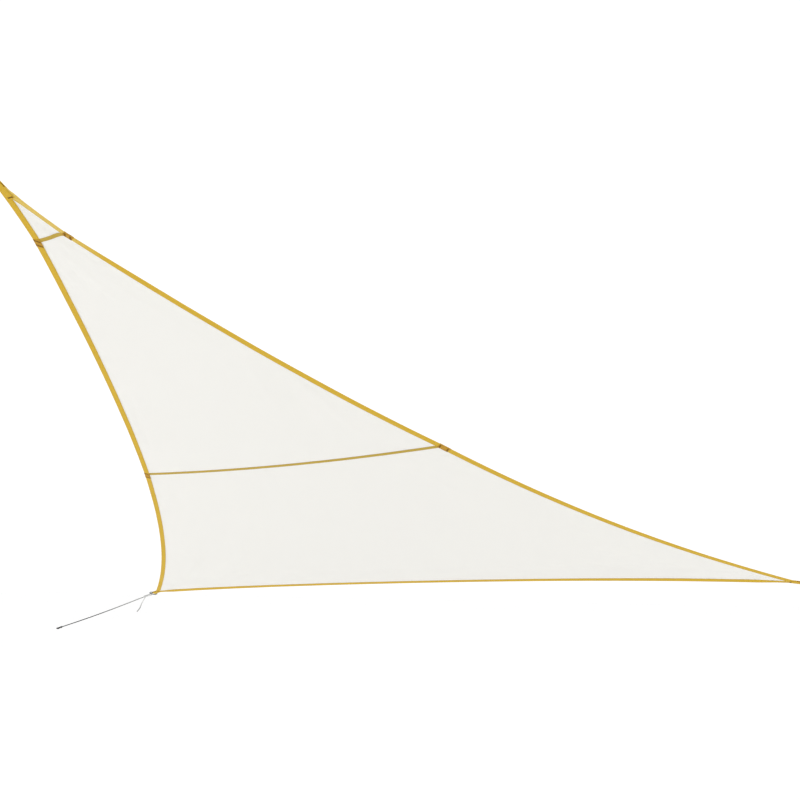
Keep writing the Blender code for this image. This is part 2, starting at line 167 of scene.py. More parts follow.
@dataclass(frozen=True)
class SailShape:
    """Outline, slope and sag of the sail, and the sizes that its pieces share.

    tip_seam and main_seam are shares of the two upper edges, from the top corner down.
    """

    side: float = 3.6
    slope: float = math.radians(21.34)
    bank: float = math.radians(1.63)
    sag_sides: float = 0.0522
    sag_low: float = 0.0188
    sag_middle: float = 0.0279
    tip_seam: float = 0.0516
    main_seam: float = 0.4664
    ring_bar_out: float = 0.060
    ring_depth: float = 0.035
    cord_end_out: float = 1.596
    cord_end_aside: float = 0.1166
    ring_wire: float = 0.0050
    cloth_thickness: float = 0.0011
    webbing_width: float = 0.023
    mitre_gap: float = 0.0002

    @cached_property
    def height(self) -> float:
        """Height of the triangle between the corners."""
        return self.side * math.sqrt(3) / 2

    @cached_property
    def corners(self) -> dict[Corner, Vector]:
        """Where the bands' middle lines cross, in the sail's plane."""
        return {
            Corner.TOP: Vector((0.0, 0.0)),
            Corner.LEFT: Vector((-self.side / 2, self.height)),
            Corner.RIGHT: Vector((self.side / 2, self.height)),
        }

    @cached_property
    def centre(self) -> Vector:
        """Middle of the three corners."""
        return sum(self.corners.values(), Vector((0.0, 0.0))) / 3

    @cached_property
    def turn(self) -> Matrix:
        """Turns the sail's plane to its slope and bank."""
        return Matrix.Rotation(-self.slope, 3, "X") @ Matrix.Rotation(-self.bank, 3, "Y")

    @cached_property
    def down(self) -> Vector:
        """Straight down, in the sail's own axes."""
        return self.turn.transposed() @ Vector((0.0, 0.0, -1.0))

    @cached_property
    def origin(self) -> Vector:
        """The top corner in the frame, whose origin is the middle of the top ring's bow."""
        return -(self.turn @ self.bow_middle(Corner.TOP))

    def sag(self, x: float, y: float) -> float:
        """Drop of the cloth at a point of the plane.

        The factors 4 and 27 make each product of shares 1 where it is largest.
        """
        top = 1 - y / self.height
        left = y / (2 * self.height) - x / self.side
        right = y / (2 * self.height) + x / self.side
        edges = 4 * (self.sag_sides * top * (left + right) + self.sag_low * left * right)
        return edges + 27 * self.sag_middle * top * left * right

    def hang(self, point: Vector) -> Vector:
        """A point of the flat plane, where it is once the cloth hangs."""
        return point + self.down * self.sag(point.x, point.y)

    def world(self, hung: Vector) -> Vector:
        """A point of the sail's own axes in the frame."""
        return self.origin + self.turn @ hung

    def place(self, flat: Vector, height: float) -> Vector:
        """A point over the flat cut, slanted by its edge, hung and in the frame."""
        slanted = height + sum(slant.rise(self, flat) for slant in SLANTS)
        return self.world(self.hang(Vector((flat.x, flat.y, slanted))))

    def middle_line(self, edge: Edge, share: float) -> Vector:
        """A point of the edge band's middle line."""
        start = self.corners[edge.start]
        chord = self.corners[edge.end] - start
        bow = 4 * edge.depth * share * (1 - share) * (1 + edge.lean * (2 * share - 1))
        bow += edge.main_kink * tent(share, self.main_seam)
        bow += edge.tip_kink * tent(share, self.tip_seam)
        bow -= edge.tip_flare * max(1 - share / self.tip_seam, 0.0) ** 2
        return start + chord * share + square_to(chord, self.centre - start) * bow

    def edge_point(self, edge: Edge, share: float, inset: float = 0.0) -> Vector:
        """A point of an edge.

        Args:
            edge: The edge.
            share: How far along it.
            inset: Distance from the band's middle line, towards the sail's middle.

        Returns:
            The point, in the flat plane.
        """
        step = 1e-4
        here = self.middle_line(edge, share)
        run = self.middle_line(edge, share + step) - self.middle_line(edge, share - step)
        return here + square_to(run, self.centre - here) * inset

    def outward(self, corner: Corner) -> Vector:
        """Direction from the sail's middle to a corner."""
        return (self.corners[corner] - self.centre).normalized()

    def at_corner(self, corner: Corner, out: float, aside: float, height: float) -> Vector:
        """A point near a corner: out along its line, aside to the left of it, and up."""
        away = self.outward(corner)
        flat = self.corners[corner] + away * out + Vector((-away.y, away.x)) * aside
        return Vector((flat.x, flat.y, height))

    def corner_share(self, edge: Edge, corner: Corner, inset: float, cut_out: float) -> float:
        """Share of an edge at which a rail of its band meets the corner.

        Args:
            edge: The edge.
            corner: One of its two corners.
            inset: The rail's distance from the band's middle line.
            cut_out: The band is cut square this far outside the corner.

        Returns:
            The share where the rail reaches the mitre or the square cut.
        """
        away = self.outward(corner)
        side = square_to(away, self.middle_line(edge, 0.5) - self.corners[corner])
        low, high = -0.02, 0.06  # shares between which the rail crosses the mitre
        for _ in range(30):
            middle = (low + high) / 2
            share = middle if corner is edge.start else 1 - middle
            offset = self.edge_point(edge, share, inset) - self.corners[corner]
            clear = min(cut_out - offset.dot(away), offset.dot(side) - self.mitre_gap)
            low, high = (low, middle) if clear > 0 else (middle, high)
        return high if corner is edge.start else 1 - high

    def cord_end(self) -> Vector:
        """Tip of the cord's end loop, in the flat plane under the hung cloth's."""
        return self.at_corner(Corner.LEFT, self.cord_end_out, self.cord_end_aside, 0.0)

    def ring_frame(self, corner: Corner) -> Matrix:
        """Place of a ring's bar, with columns aside, outward and up from the ring."""
        step, out = 0.001, self.ring_bar_out
        here = self.hang(self.at_corner(corner, out, 0, 0))
        aside = (here - self.hang(self.at_corner(corner, out, step, 0))).normalized()
        away = self.hang(self.at_corner(corner, out + step, 0, 0)) - here
        if corner is Corner.LEFT:
            away = self.cord_end() - here
        up = aside.cross(away).normalized()
        axes = Matrix((aside, up.cross(aside), up)).transposed()
        return Matrix.Translation(here) @ axes.to_4x4()

    def bow_middle(self, corner: Corner) -> Vector:
        """Middle of the wire at the outer side of a corner's ring."""
        return self.ring_frame(corner) @ Vector((0.0, self.ring_depth, 0.0))


@dataclass(frozen=True)
class Slant:
    """How an edge turns out of the cloth's plane along part of its length.

    comes and goes are the shares of the edge over which it starts and ends. It is whole up to
    flat_width inside the band's middle line, and fades out over the next stretch, fade. That
    stretch is shorter near a corner, where narrowing is its share of the distance from there.
    """

    side: Side
    slope: float
    comes: tuple[float, float]
    goes: tuple[float, float]
    fade: float
    flat_width: float = 0.012
    narrowing: float = 0.45

    def rise(self, shape: SailShape, flat: Vector) -> float:
        """Height that the slant adds at a point of the flat cut."""
        edge = EDGES[self.side]
        start = shape.corners[edge.start]
        chord = shape.corners[edge.end] - start
        share = (flat - start).dot(chord) / chord.length_squared
        if not self.comes[0] < share < self.goes[1]:
            return 0.0
        inward = square_to(chord, shape.centre - start)
        inset = (flat - shape.middle_line(edge, share)).dot(inward)
        window = smooth((share - self.comes[0]) / (self.comes[1] - self.comes[0]))
        window *= smooth((self.goes[1] - share) / (self.goes[1] - self.goes[0]))
        room = min(share, 1 - share) * chord.length * self.narrowing
        near = 1 - smooth((inset - self.flat_width) / min(self.fade, room))
        return self.slope * inset * window * near


SLANTS = (
    Slant(Side.LOWER, 0.16, comes=(0.012, 0.04), goes=(0.955, 0.985), fade=0.22),
    Slant(Side.LOWER, 0.07, comes=(0.012, 0.04), goes=(0.10, 0.30), fade=0.10),
    Slant(Side.LOWER, 0.09, comes=(0.62, 0.86), goes=(0.955, 0.985), fade=0.10),
    Slant(Side.UPPER, 0.21, comes=(0.006, 0.014), goes=(0.045, 0.13), fade=0.045),
    Slant(Side.UPPER, 0.09, comes=(0.010, 0.030), goes=(0.12, 0.38), fade=0.09),
)
SAIL = SailShape()


# ---- nodes and their maths ----
Number = Union["Value", float]


class Value:
    """A socket of a node tree that numbers and other sockets are reckoned with."""

    def __init__(self, nodes: "NodeMaker", socket: bpy.types.NodeSocket) -> None:
        """Wraps a socket of a tree."""
        self.nodes = nodes
        self.socket = socket

    def reckon(self, operation: str, *others: Number) -> "Value":
        """Adds a Math node that starts with this socket."""
        inputs = dict(enumerate((self, *others)))
        return self.nodes.value("ShaderNodeMath", {"operation": operation}, inputs)

    def __add__(self, other: Number) -> "Value":
        """Sum."""
        return self.reckon("ADD", other)

    __radd__ = __add__

    def __mul__(self, other: Number) -> "Value":
        """Product."""
        return self.reckon("MULTIPLY", other)

    __rmul__ = __mul__

    def __sub__(self, other: Number) -> "Value":
        """Difference."""
        return self.reckon("SUBTRACT", other)

    def __rsub__(self, other: float) -> "Value":
        """Difference from a number."""
        return self * -1.0 + other

    def __truediv__(self, other: Number) -> "Value":
        """Quotient."""
        return self.reckon("DIVIDE", other)

    def __pow__(self, other: float) -> "Value":
        """Power."""
        return self.reckon("POWER", other)

    def __abs__(self) -> "Value":
        """Size without sign."""
        return self.reckon("ABSOLUTE")

    def wave(self) -> "Value":
        """Sine of the value."""
        return self.reckon("SINE")

    def above(self, limit: Number) -> "Value":
        """1 where the value is over the limit, and 0 elsewhere."""
        return self.reckon("GREATER_THAN", limit)

    def largest(self, other: Number) -> "Value":
        """The larger of two values."""
        return self.reckon("MAXIMUM", other)

    def held(self) -> "Value":
        """The value, held between 0 and 1."""
        return self.largest(0.0).reckon("MINIMUM", 1.0)


Colour = tuple[float, float, float]


class NodeMaker:
    """A node tree, and the one way in which its nodes are made."""

    def __init__(self, tree: bpy.types.NodeTree) -> None:
        """Takes the tree that the nodes go into."""
        self.tree = tree

    def node(self, kind: str, settings: dict[str, Any], inputs: dict[Any, Any]) -> bpy.types.Node:
        """Makes a node.

        Args:
            kind: Its type.
            settings: Its own properties, set first.
            inputs: Values, sockets or wrapped sockets by the name or number of its inputs.

        Returns:
            The node.
        """
        made = self.tree.nodes.new(kind)
        for key, setting in settings.items():
            setattr(made, key, setting)
        for key, given in inputs.items():
            if isinstance(given, Value):
                given = given.socket
            if isinstance(given, bpy.types.NodeSocket):
                self.tree.links.new(given, made.inputs[key])
            elif isinstance(given, tuple) and len(given) == 3 and made.inputs[key].type == "RGBA":
                made.inputs[key].default_value = (*given, 1.0)
            else:
                made.inputs[key].default_value = given
        return made

    def output(self, kind: str, settings: dict[str, Any], inputs: dict[Any, Any],
               which: Union[int, str] = 0) -> bpy.types.NodeSocket:
        """Makes a node and gives one of its outputs."""
        return self.node(kind, settings, inputs).outputs[which]

    def value(self, kind: str, settings: dict[str, Any], inputs: dict[Any, Any],
              which: Union[int, str] = 0) -> Value:
        """Makes a node and wraps one of its outputs."""
        return Value(self, self.output(kind, settings, inputs, which))


class Shader(NodeMaker):
    """A material's nodes, and the patterns that the finishes share."""

    def __init__(self, name: str) -> None:
        """Starts an empty material with that name."""
        self.material = bpy.data.materials.new(name)
        self.material.use_nodes = True
        super().__init__(self.material.node_tree)
        self.tree.nodes.clear()

    def coordinates(self, which: str) -> bpy.types.NodeSocket:
        """The piece's own UV map or Object coordinates."""
        return self.output("ShaderNodeTexCoord", {}, {}, which)

    def across_and_along(self) -> tuple[Value, Value]:
        """The two coordinates of the piece's UV map, in metres."""
        split = self.node("ShaderNodeSeparateXYZ", {}, {0: self.coordinates("UV")})
        return Value(self, split.outputs[0]), Value(self, split.outputs[1])

    def attribute(self, name: str) -> Value:
        """A number that the mesh carries at each point."""
        return self.value("ShaderNodeAttribute", {"attribute_name": name}, {}, "Fac")

    def noise(self, where: bpy.types.NodeSocket, scale: float, detail: float = 2.0) -> Value:
        """Soft noise between 0 and 1, with that many patches a metre."""
        inputs = {"Vector": where, "Scale": scale, "Detail": detail}
        return self.value("ShaderNodeTexNoise", {}, inputs, "Fac")

    def stretched(self, where: bpy.types.NodeSocket, scale: tuple[float, float, float]
                  ) -> bpy.types.NodeSocket:
        """Coordinates with each axis scaled on its own."""
        return self.output("ShaderNodeMapping", {}, {"Vector": where, "Scale": scale})

    def mix(self, factor: Number, first: Any, second: Any) -> bpy.types.NodeSocket:
        """A colour between two colours."""
        inputs = {0: factor, 6: first, 7: second}
        return self.output("ShaderNodeMix", {"data_type": "RGBA"}, inputs, 2)

    def bump(self, height: Value, strength: float, distance: float) -> bpy.types.NodeSocket:
        """A normal raised by a height."""
        inputs = {"Height": height, "Strength": strength, "Distance": distance}
        return self.output("ShaderNodeBump", {}, inputs)

    def surface(self, inputs: dict[str, Any], see_through: float = 0.0,
                through_colour: Colour = (1.0, 1.0, 1.0)) -> bpy.types.Material:
        """Closes the tree with a Principled shader.

        Args:
            inputs: Values and sockets of the Principled shader.
            see_through: Share of the light that is scattered through the piece.
            through_colour: Colour of that light.

        Returns:
            The finished material.
        """
        shown = self.output("ShaderNodeBsdfPrincipled", {}, inputs)
        if see_through:
            through = self.output("ShaderNodeBsdfTranslucent", {}, {"Color": through_colour})
            shown = self.output("ShaderNodeMixShader", {}, {0: see_through, 1: shown, 2: through})
        self.node("ShaderNodeOutputMaterial", {}, {"Surface": shown})
        return self.material


# ---- finishes ----
@dataclass(frozen=True)
class ClothFinish:
    """Matt plain-woven cloth, a little see-through. slub and clouds are patches a metre."""

    name: str = "cloth_offwhite"
    light: Colour = (0.900, 0.892, 0.862)
    dark: Colour = (0.868, 0.860, 0.830)
    thread_pitch: float = 0.0012
    slub: tuple[float, float] = (9.0, 420.0)
    clouds: float = 1.7
    roughness: float = 0.85
    see_through: float = 0.22

    def build(self) -> bpy.types.Material:
        """Makes the material."""
        shader = Shader(self.name)
        across, along = shader.across_and_along()
        turns = 2 * math.pi / self.thread_pitch
        warp, weft = (across * turns).wave(), (along * turns).wave()
        weave = (warp * weft) * 0.5 + 0.5
        uv = shader.coordinates("UV")
        slub = shader.noise(shader.stretched(uv, (*self.slub, 1.0)), 1.0)
        slub_across = shader.noise(shader.stretched(uv, (*self.slub[::-1], 1.0)), 1.0)
        clouds = shader.noise(uv, self.clouds, 3.0)
        # painted shade in the weave's hollows; slub and clouds are real random tone
        tone = (weave * 0.25 + slub * 0.3 + slub_across * 0.2 + clouds * 0.35 - 0.05).held()
        height = weave * 0.6 + slub * 0.2 + slub_across * 0.2
        return shader.surface(
            {
                "Base Color": shader.mix(tone, self.dark, self.light),
                "Roughness": self.roughness,
                "Specular IOR Level": 0.25,
                "Sheen Weight": 0.15,
                "Sheen Roughness": 0.6,
                "Normal": shader.bump(height, 0.30, 0.0003),
            },
            self.see_through,
            (0.93, 0.92, 0.88),
        )


@dataclass(frozen=True)
class WebbingFinish:
    """Narrow woven webbing: ribs along it, and threads across them.

    Painted light lightens it up to a given length along the piece, ever less over the last stretch
    of that.
    wear and fuzz are patches a metre, across and along.
    """

    name: str
    light: Colour = (0.770, 0.515, 0.050)
    dark: Colour = (0.570, 0.362, 0.028)
    rib_pitch: float = 0.0018
    pick_pitch: float = 0.0013
    wear: tuple[float, float] = (60.0, 5.0)
    fuzz: tuple[float, float] = (900.0, 300.0)
    roughness: float = 0.62
    see_through: float = 0.12
    # painted light: the lighter colour where the band is lit, how far it reaches and how it fades
    lit_colour: Colour = (0.80, 0.62, 0.19)
    lit_until: float = 0.0
    lit_fade_length: float = 0.15

    def build(self) -> bpy.types.Material:
        """Makes the material."""
        shader = Shader(self.name)
        across, along = shader.across_and_along()
        rib_turn, pick_turn = math.pi / self.rib_pitch, math.pi / self.pick_pitch
        rib = abs((across * rib_turn).wave())
        step = (across / self.rib_pitch).reckon("FLOOR") * (math.pi / 2)
        pick = abs((along * pick_turn + step).wave())
        weave = (rib ** 0.6) * (pick * 0.45 + 0.55)
        uv = shader.coordinates("UV")
        wear = shader.noise(shader.stretched(uv, (*self.wear, 1.0)), 1.0, 3.0)
        fuzz = shader.noise(shader.stretched(uv, (*self.fuzz, 1.0)), 1.0)
        # painted shade in the weave's hollows; wear and fuzz are real random tone
        tone = (weave * 0.55 + wear * 0.45 + fuzz * 0.15 - 0.12).held()
        rough = (self.roughness + 0.15) - weave * 0.15
        colour = shader.mix(tone, self.dark, self.light)
        # painted light: lightens the lit stretch by the top corner, most on the raised ribs
        if self.lit_until:
            fade = ((self.lit_until - along) / self.lit_fade_length).held()
            colour = shader.mix(fade * (weave * 0.4 + 0.35), colour, self.lit_colour)
        return shader.surface(
            {
                "Base Color": colour,
                "Roughness": rough,
                "Specular IOR Level": 0.15,
                "Normal": shader.bump(weave * 0.85 + fuzz * 0.15, 0.6, 0.0004),
            },
            self.see_through,
            self.light,
        )


@dataclass(frozen=True)
class ThreadFinish:
    """Twisted sewing thread. twist and fuzz are patches a metre."""

    name: str
    light: Colour
    dark: Colour
    sheen: float = 0.2
    twist: float = 700.0
    fuzz: float = 2600.0

    def build(self) -> bpy.types.Material:
        """Makes the material."""
        shader = Shader(self.name)
        where = shader.coordinates("Object")
        tone = shader.noise(where, self.twist)
        return shader.surface({
            "Base Color": shader.mix(tone, self.dark, self.light),
            "Roughness": 0.55,
            "Specular IOR Level": 0.2,
            "Sheen Weight": self.sheen,
            "Normal": shader.bump(shader.noise(where, self.fuzz), 0.4, 0.0002),
        })


@dataclass(frozen=True)
class SteelFinish:
    """Drawn steel wire, brushed by use. stains and scratches are patches a metre."""

    name: str = "steel_brushed"
    light: Colour = (0.18, 0.20, 0.20)
    dark: Colour = (0.05, 0.062, 0.062)
    stains: float = 90.0
    scratches: tuple[float, float, float] = (2600.0, 300.0, 2600.0)

    def build(self) -> bpy.types.Material:
        """Makes the material."""
        shader = Shader(self.name)
        where = shader.coordinates("Object")
        stains = shader.noise(where, self.stains, 4.0)
        scratches = shader.noise(shader.stretched(where, self.scratches), 1.0)
        rough = stains * 0.20 + scratches * 0.12 + 0.20
        return shader.surface({
            "Base Color": shader.mix((stains * 0.7 + scratches * 0.3).held(),
                                     self.dark, self.light),
            "Metallic": 1.0,
            "Roughness": rough,
            "Normal": shader.bump(scratches, 0.25, 0.0001),
        })


class BraidAttribute(Enum):
    """Numbers that a cord's mesh carries for its finish."""

    RAISED = "braid_raised"
    # painted shade towards the cord's far end
    SOIL = "braid_soil"
    TRACER = "braid_tracer"
    # painted highlight at the knot
    PALE = "braid_pale"


@dataclass(frozen=True)
class CordFinish:
    """Braided cord with dark tracer threads. Painted shade darkens its grooves and its far end,
    and a painted highlight lightens it at its knot.

    fibres and patches are so many a metre.
    """

    name: str = "cord_braided"
    clean: Colour = (0.40, 0.40, 0.39)
    # painted shade: the darker colour of the grooves between the strands
    groove_shade: Colour = (0.17, 0.17, 0.165)
    # painted shade: the colour that the far end darkens to
    end_shade_colour: Colour = (0.010, 0.011, 0.010)
    # painted highlight: the lighter colour at the knot
    highlight_colour: Colour = (0.70, 0.70, 0.69)
    fibres: float = 1500.0
    patches: float = 45.0

    def build(self) -> bpy.types.Material:
        """Makes the material. The mesh carries how raised and traced it is, and where painted
        shade and a painted highlight lie on it.
        """
        shader = Shader(self.name)
        raised = shader.attribute(BraidAttribute.RAISED.value)
        end_shade = shader.attribute(BraidAttribute.SOIL.value)
        tracer = shader.attribute(BraidAttribute.TRACER.value)
        where = shader.coordinates("Object")
        fibres = shader.noise(where, self.fibres)
        patches = shader.noise(where, self.patches, 3.0)
        # painted shade: darker in the grooves, lighter on the raised strands
        strand = shader.mix((raised * 0.8 + fibres * 0.3).held(), self.groove_shade, self.clean)
        # painted highlight: lighter at the knot and round the eye
        pale = shader.attribute(BraidAttribute.PALE.value)
        strand = shader.mix(pale, strand, self.highlight_colour)
        # painted shade that darkens the far end in patches, with the real dark tracer threads
        shade_and_tracer = (end_shade * (patches * 0.7 + 0.75) + tracer * (pale * -0.6 + 0.55)).held()
        return shader.surface({
            "Base Color": shader.mix(shade_and_tracer, strand, self.end_shade_colour),
            "Roughness": 0.8,
            "Specular IOR Level": 0.05,
            "Normal": shader.bump(fibres, 0.4, 0.0002),
        })


@dataclass(frozen=True)
class Finishes:
    """Every finish of the sail, made once."""

    cloth: bpy.types.Material
    webbing: bpy.types.Material
    sunned: bpy.types.Material
    tape: bpy.types.Material
    doubled: bpy.types.Material
    thread: bpy.types.Material
    tack: bpy.types.Material
    steel: bpy.types.Material
    cord: bpy.types.Material

    @classmethod
    def build(cls) -> "Finishes":
        """Makes the materials."""
        return cls(
            cloth=ClothFinish().build(),
            webbing=WebbingFinish("webbing_gold").build(),
            # painted light on the upper edge's bands by the top corner
            sunned=WebbingFinish("webbing_sunned", lit_until=0.32).build(),
            tape=WebbingFinish("tape_gold", (0.630, 0.447, 0.085), (0.457, 0.318, 0.050),
                               rib_pitch=0.0014).build(),
            # painted shade: darker where two layers let less light through
            doubled=WebbingFinish("webbing_doubled", (0.560, 0.315, 0.036),
                                  (0.390, 0.205, 0.020), see_through=0.04).build(),
            thread=ThreadFinish("thread_gold", (0.700, 0.430, 0.070), (0.480, 0.270, 0.035)).build(),
            tack=ThreadFinish("thread_brown", (0.300, 0.155, 0.012), (0.170, 0.082, 0.007),
                              sheen=0.0).build(),
            steel=SteelFinish().build(),
            cord=CordFinish().build(),
        )


# ---- making pieces ----
def make_piece(name: str, mesh: bpy.types.Mesh, finish: bpy.types.Material,
               nodes: Iterable[str] = ()) -> bpy.types.Object:
    """Makes a finished mesh a piece of the sail.

    Args:
        name: The piece's name.
        mesh: Its mesh, placed in the frame.
        finish: Its material.
        nodes: The solids that it stands for.

    Returns:
        The piece.
    """
    mesh.materials.clear()
    mesh.materials.append(finish)
    mesh.shade_smooth()
    mesh.set_sharp_from_angle(angle=SHARP_ANGLE)
    piece = bpy.data.objects.new(name, mesh)
    bpy.context.scene.collection.objects.link(piece)
    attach(piece, BODY)
    nodes = list(nodes)
    if nodes:
        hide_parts(*nodes)
    LOG.info("%s: %d faces", name, len(mesh.polygons))
    return piece


def outward_mesh(mesh: bpy.types.Mesh, weld: float = 0.0) -> bpy.types.Mesh:
    """Turns a closed mesh's faces outwards, and first joins points nearer than weld."""
    shape = bmesh.new()
    shape.from_mesh(mesh)
    if weld:
        bmesh.ops.remove_doubles(shape, verts=shape.verts, dist=weld)
    if shape.calc_volume(signed=True) < 0:
        bmesh.ops.reverse_faces(shape, faces=shape.faces)
    shape.to_mesh(mesh)
    shape.free()
    return mesh


def modified_mesh(name: str, mesh: bpy.types.Mesh, kind: str, settings: dict[str, Any],
                  inputs: dict[str, Any]) -> bpy.types.Mesh:
    """Puts a mesh through one modifier, and keeps the result as a plain mesh.

    Args:
        name: The new mesh's name.
        mesh: The mesh that goes in. It is used up.
        kind: The modifier's type.
        settings: The modifier's own properties.
        inputs: Inputs of its node tree, by socket identifier.

    Returns:
        The new mesh.
    """
    holder = bpy.data.objects.new("holder", mesh)
    bpy.context.scene.collection.objects.link(holder)
    modifier = holder.modifiers.new("modifier", kind)
    for key, setting in settings.items():
        setattr(modifier, key, setting)
    for socket, given in inputs.items():
        modifier[socket] = given
    holder.update_tag()
    made = bpy.data.meshes.new_from_object(
        holder.evaluated_get(bpy.context.evaluated_depsgraph_get())
    )
    bpy.data.objects.remove(holder)
    bpy.data.meshes.remove(mesh)
    made.name = name
    return made


def wall_faces(sections: int, count: int, closed: bool) -> list[tuple[int, ...]]:
    """Faces between sections of equal count, and from the last to the first if it is closed."""
    faces = []
    for k in range(sections if closed else sections - 1):
        low, high = k * count, (k + 1) % sections * count
        for i in range(count):
            j = (i + 1) % count
            faces.append((low + i, low + j, high + j, high + i))
    return faces


def loft(name: str, sections: Sequence[Sequence[Vector]], across: Sequence[float],
         along: Sequence[float]) -> bpy.types.Mesh:
    """A closed mesh through sections of equal count, with its ends filled.

    Args:
        name: The mesh's name.
        sections: The points round each section.
        across: Distance round the section at each point, and back at the first.
        along: Distance along the piece at each section.

    Returns:
        The mesh, with those distances as its UV map.
    """
    count = len(sections[0])
    points = [point for section in sections for point in section]
    walls = wall_faces(len(sections), count, closed=False)
    ends = [tuple(range(count))[::-1], tuple(range(len(points) - count, len(points)))]
    mesh = bpy.data.meshes.new(name)
    mesh.from_pydata(points, [], walls + ends)
    layer = mesh.uv_layers.new(name="UVMap")
    for face in mesh.polygons:
        spots = [vertex % count for vertex in face.vertices]
        closes = face.index < len(walls) and min(spots) == 0 and max(spots) == count - 1
        for loop in face.loop_indices:
            k, i = divmod(mesh.loops[loop].vertex_index, count)
            layer.data[loop].uv = (across[count if closes and i == 0 else i], along[k])
    return outward_mesh(mesh)


def perimeter(section: Sequence[tuple[float, float]]) -> list[float]:
    """Distance round a section at each of its points, and back at the first."""
    found = [0.0]
    closed = [*section, section[0]]
    for a, b in zip(closed, closed[1:]):
        found.append(found[-1] + math.dist(a, b))
    return found


# ---- cloth ----
@dataclass(frozen=True)
class Crease:
    """A soft fold along a line of the sail's plane: how far it stands up, and its half-width.

    ends is the share of its length over which it runs out at each end.
    """

    start: tuple[float, float]
    end: tuple[float, float]
    rise: float
    half_width: float
    ends: float = 0.25

    def at(self, x: float, y: float) -> float:
        """Height of the fold at a point."""
        along_x, along_y = self.end[0] - self.start[0], self.end[1] - self.start[1]
        off_x, off_y = x - self.start[0], y - self.start[1]
        squared = along_x * along_x + along_y * along_y
        share = (off_x * along_x + off_y * along_y) / squared
        if not 0.0 < share < 1.0:
            return 0.0
        across = (off_x - along_x * share) ** 2 + (off_y - along_y * share) ** 2
        whole = smooth(share / self.ends) * smooth((1 - share) / self.ends)
        return self.rise * whole * math.exp(-across / self.half_width**2)


CREASES = (
    # the main folds
    Crease((-0.06, 0.20), (-0.02, 0.44), 0.0030, 0.020),
    Crease((0.36, 0.90), (0.31, 1.40), 0.0040, 0.040),
    Crease((0.40, 0.97), (0.47, 1.44), -0.0045, 0.034),
    Crease((0.46, 1.00), (0.62, 1.44), 0.0050, 0.032),
    Crease((0.53, 1.50), (0.86, 1.82), 0.0050, 0.042),
    Crease((-1.41, 3.03), (-0.64, 2.38), -0.0065, 0.045),
    Crease((-1.28, 2.84), (-0.84, 2.28), 0.0050, 0.050),
    Crease((-1.15, 2.92), (-0.50, 2.62), 0.0045, 0.055),
    # finer ones beside them
    Crease((-0.02, 0.23), (0.03, 0.52), -0.0016, 0.016),
    Crease((0.28, 0.80), (0.22, 1.24), -0.0022, 0.026),
    Crease((0.52, 1.06), (0.70, 1.45), -0.0022, 0.020),
    Crease((0.56, 1.14), (0.80, 1.46), 0.0020, 0.018),
    Crease((0.60, 1.50), (0.98, 1.78), -0.0024, 0.024),
    Crease((0.48, 1.54), (0.70, 1.96), -0.0022, 0.030),
    Crease((-1.50, 2.98), (-1.02, 2.50), 0.0024, 0.022),
    Crease((-1.30, 3.00), (-0.86, 2.72), -0.0026, 0.024),
    Crease((-1.22, 2.70), (-0.96, 2.16), -0.0024, 0.030),
    Crease((1.30, 2.95), (0.72, 2.66), 0.0030, 0.034),
    Crease((1.42, 2.88), (0.92, 2.46), -0.0028, 0.030),
    Crease((1.24, 2.62), (0.90, 2.20), 0.0022, 0.030),
    Crease((-0.55, 1.52), (-0.78, 2.02), 0.0020, 0.030),
    Crease((-0.30, 0.92), (-0.52, 1.38), 0.0018, 0.026),
    Crease((-0.98, 2.95), (-0.40, 2.90), 0.0022, 0.030),
    Crease((0.10, 2.20), (0.52, 2.52), 0.0016, 0.060),
    Crease((-0.62, 2.16), (-0.10, 2.02), -0.0018, 0.060),
)


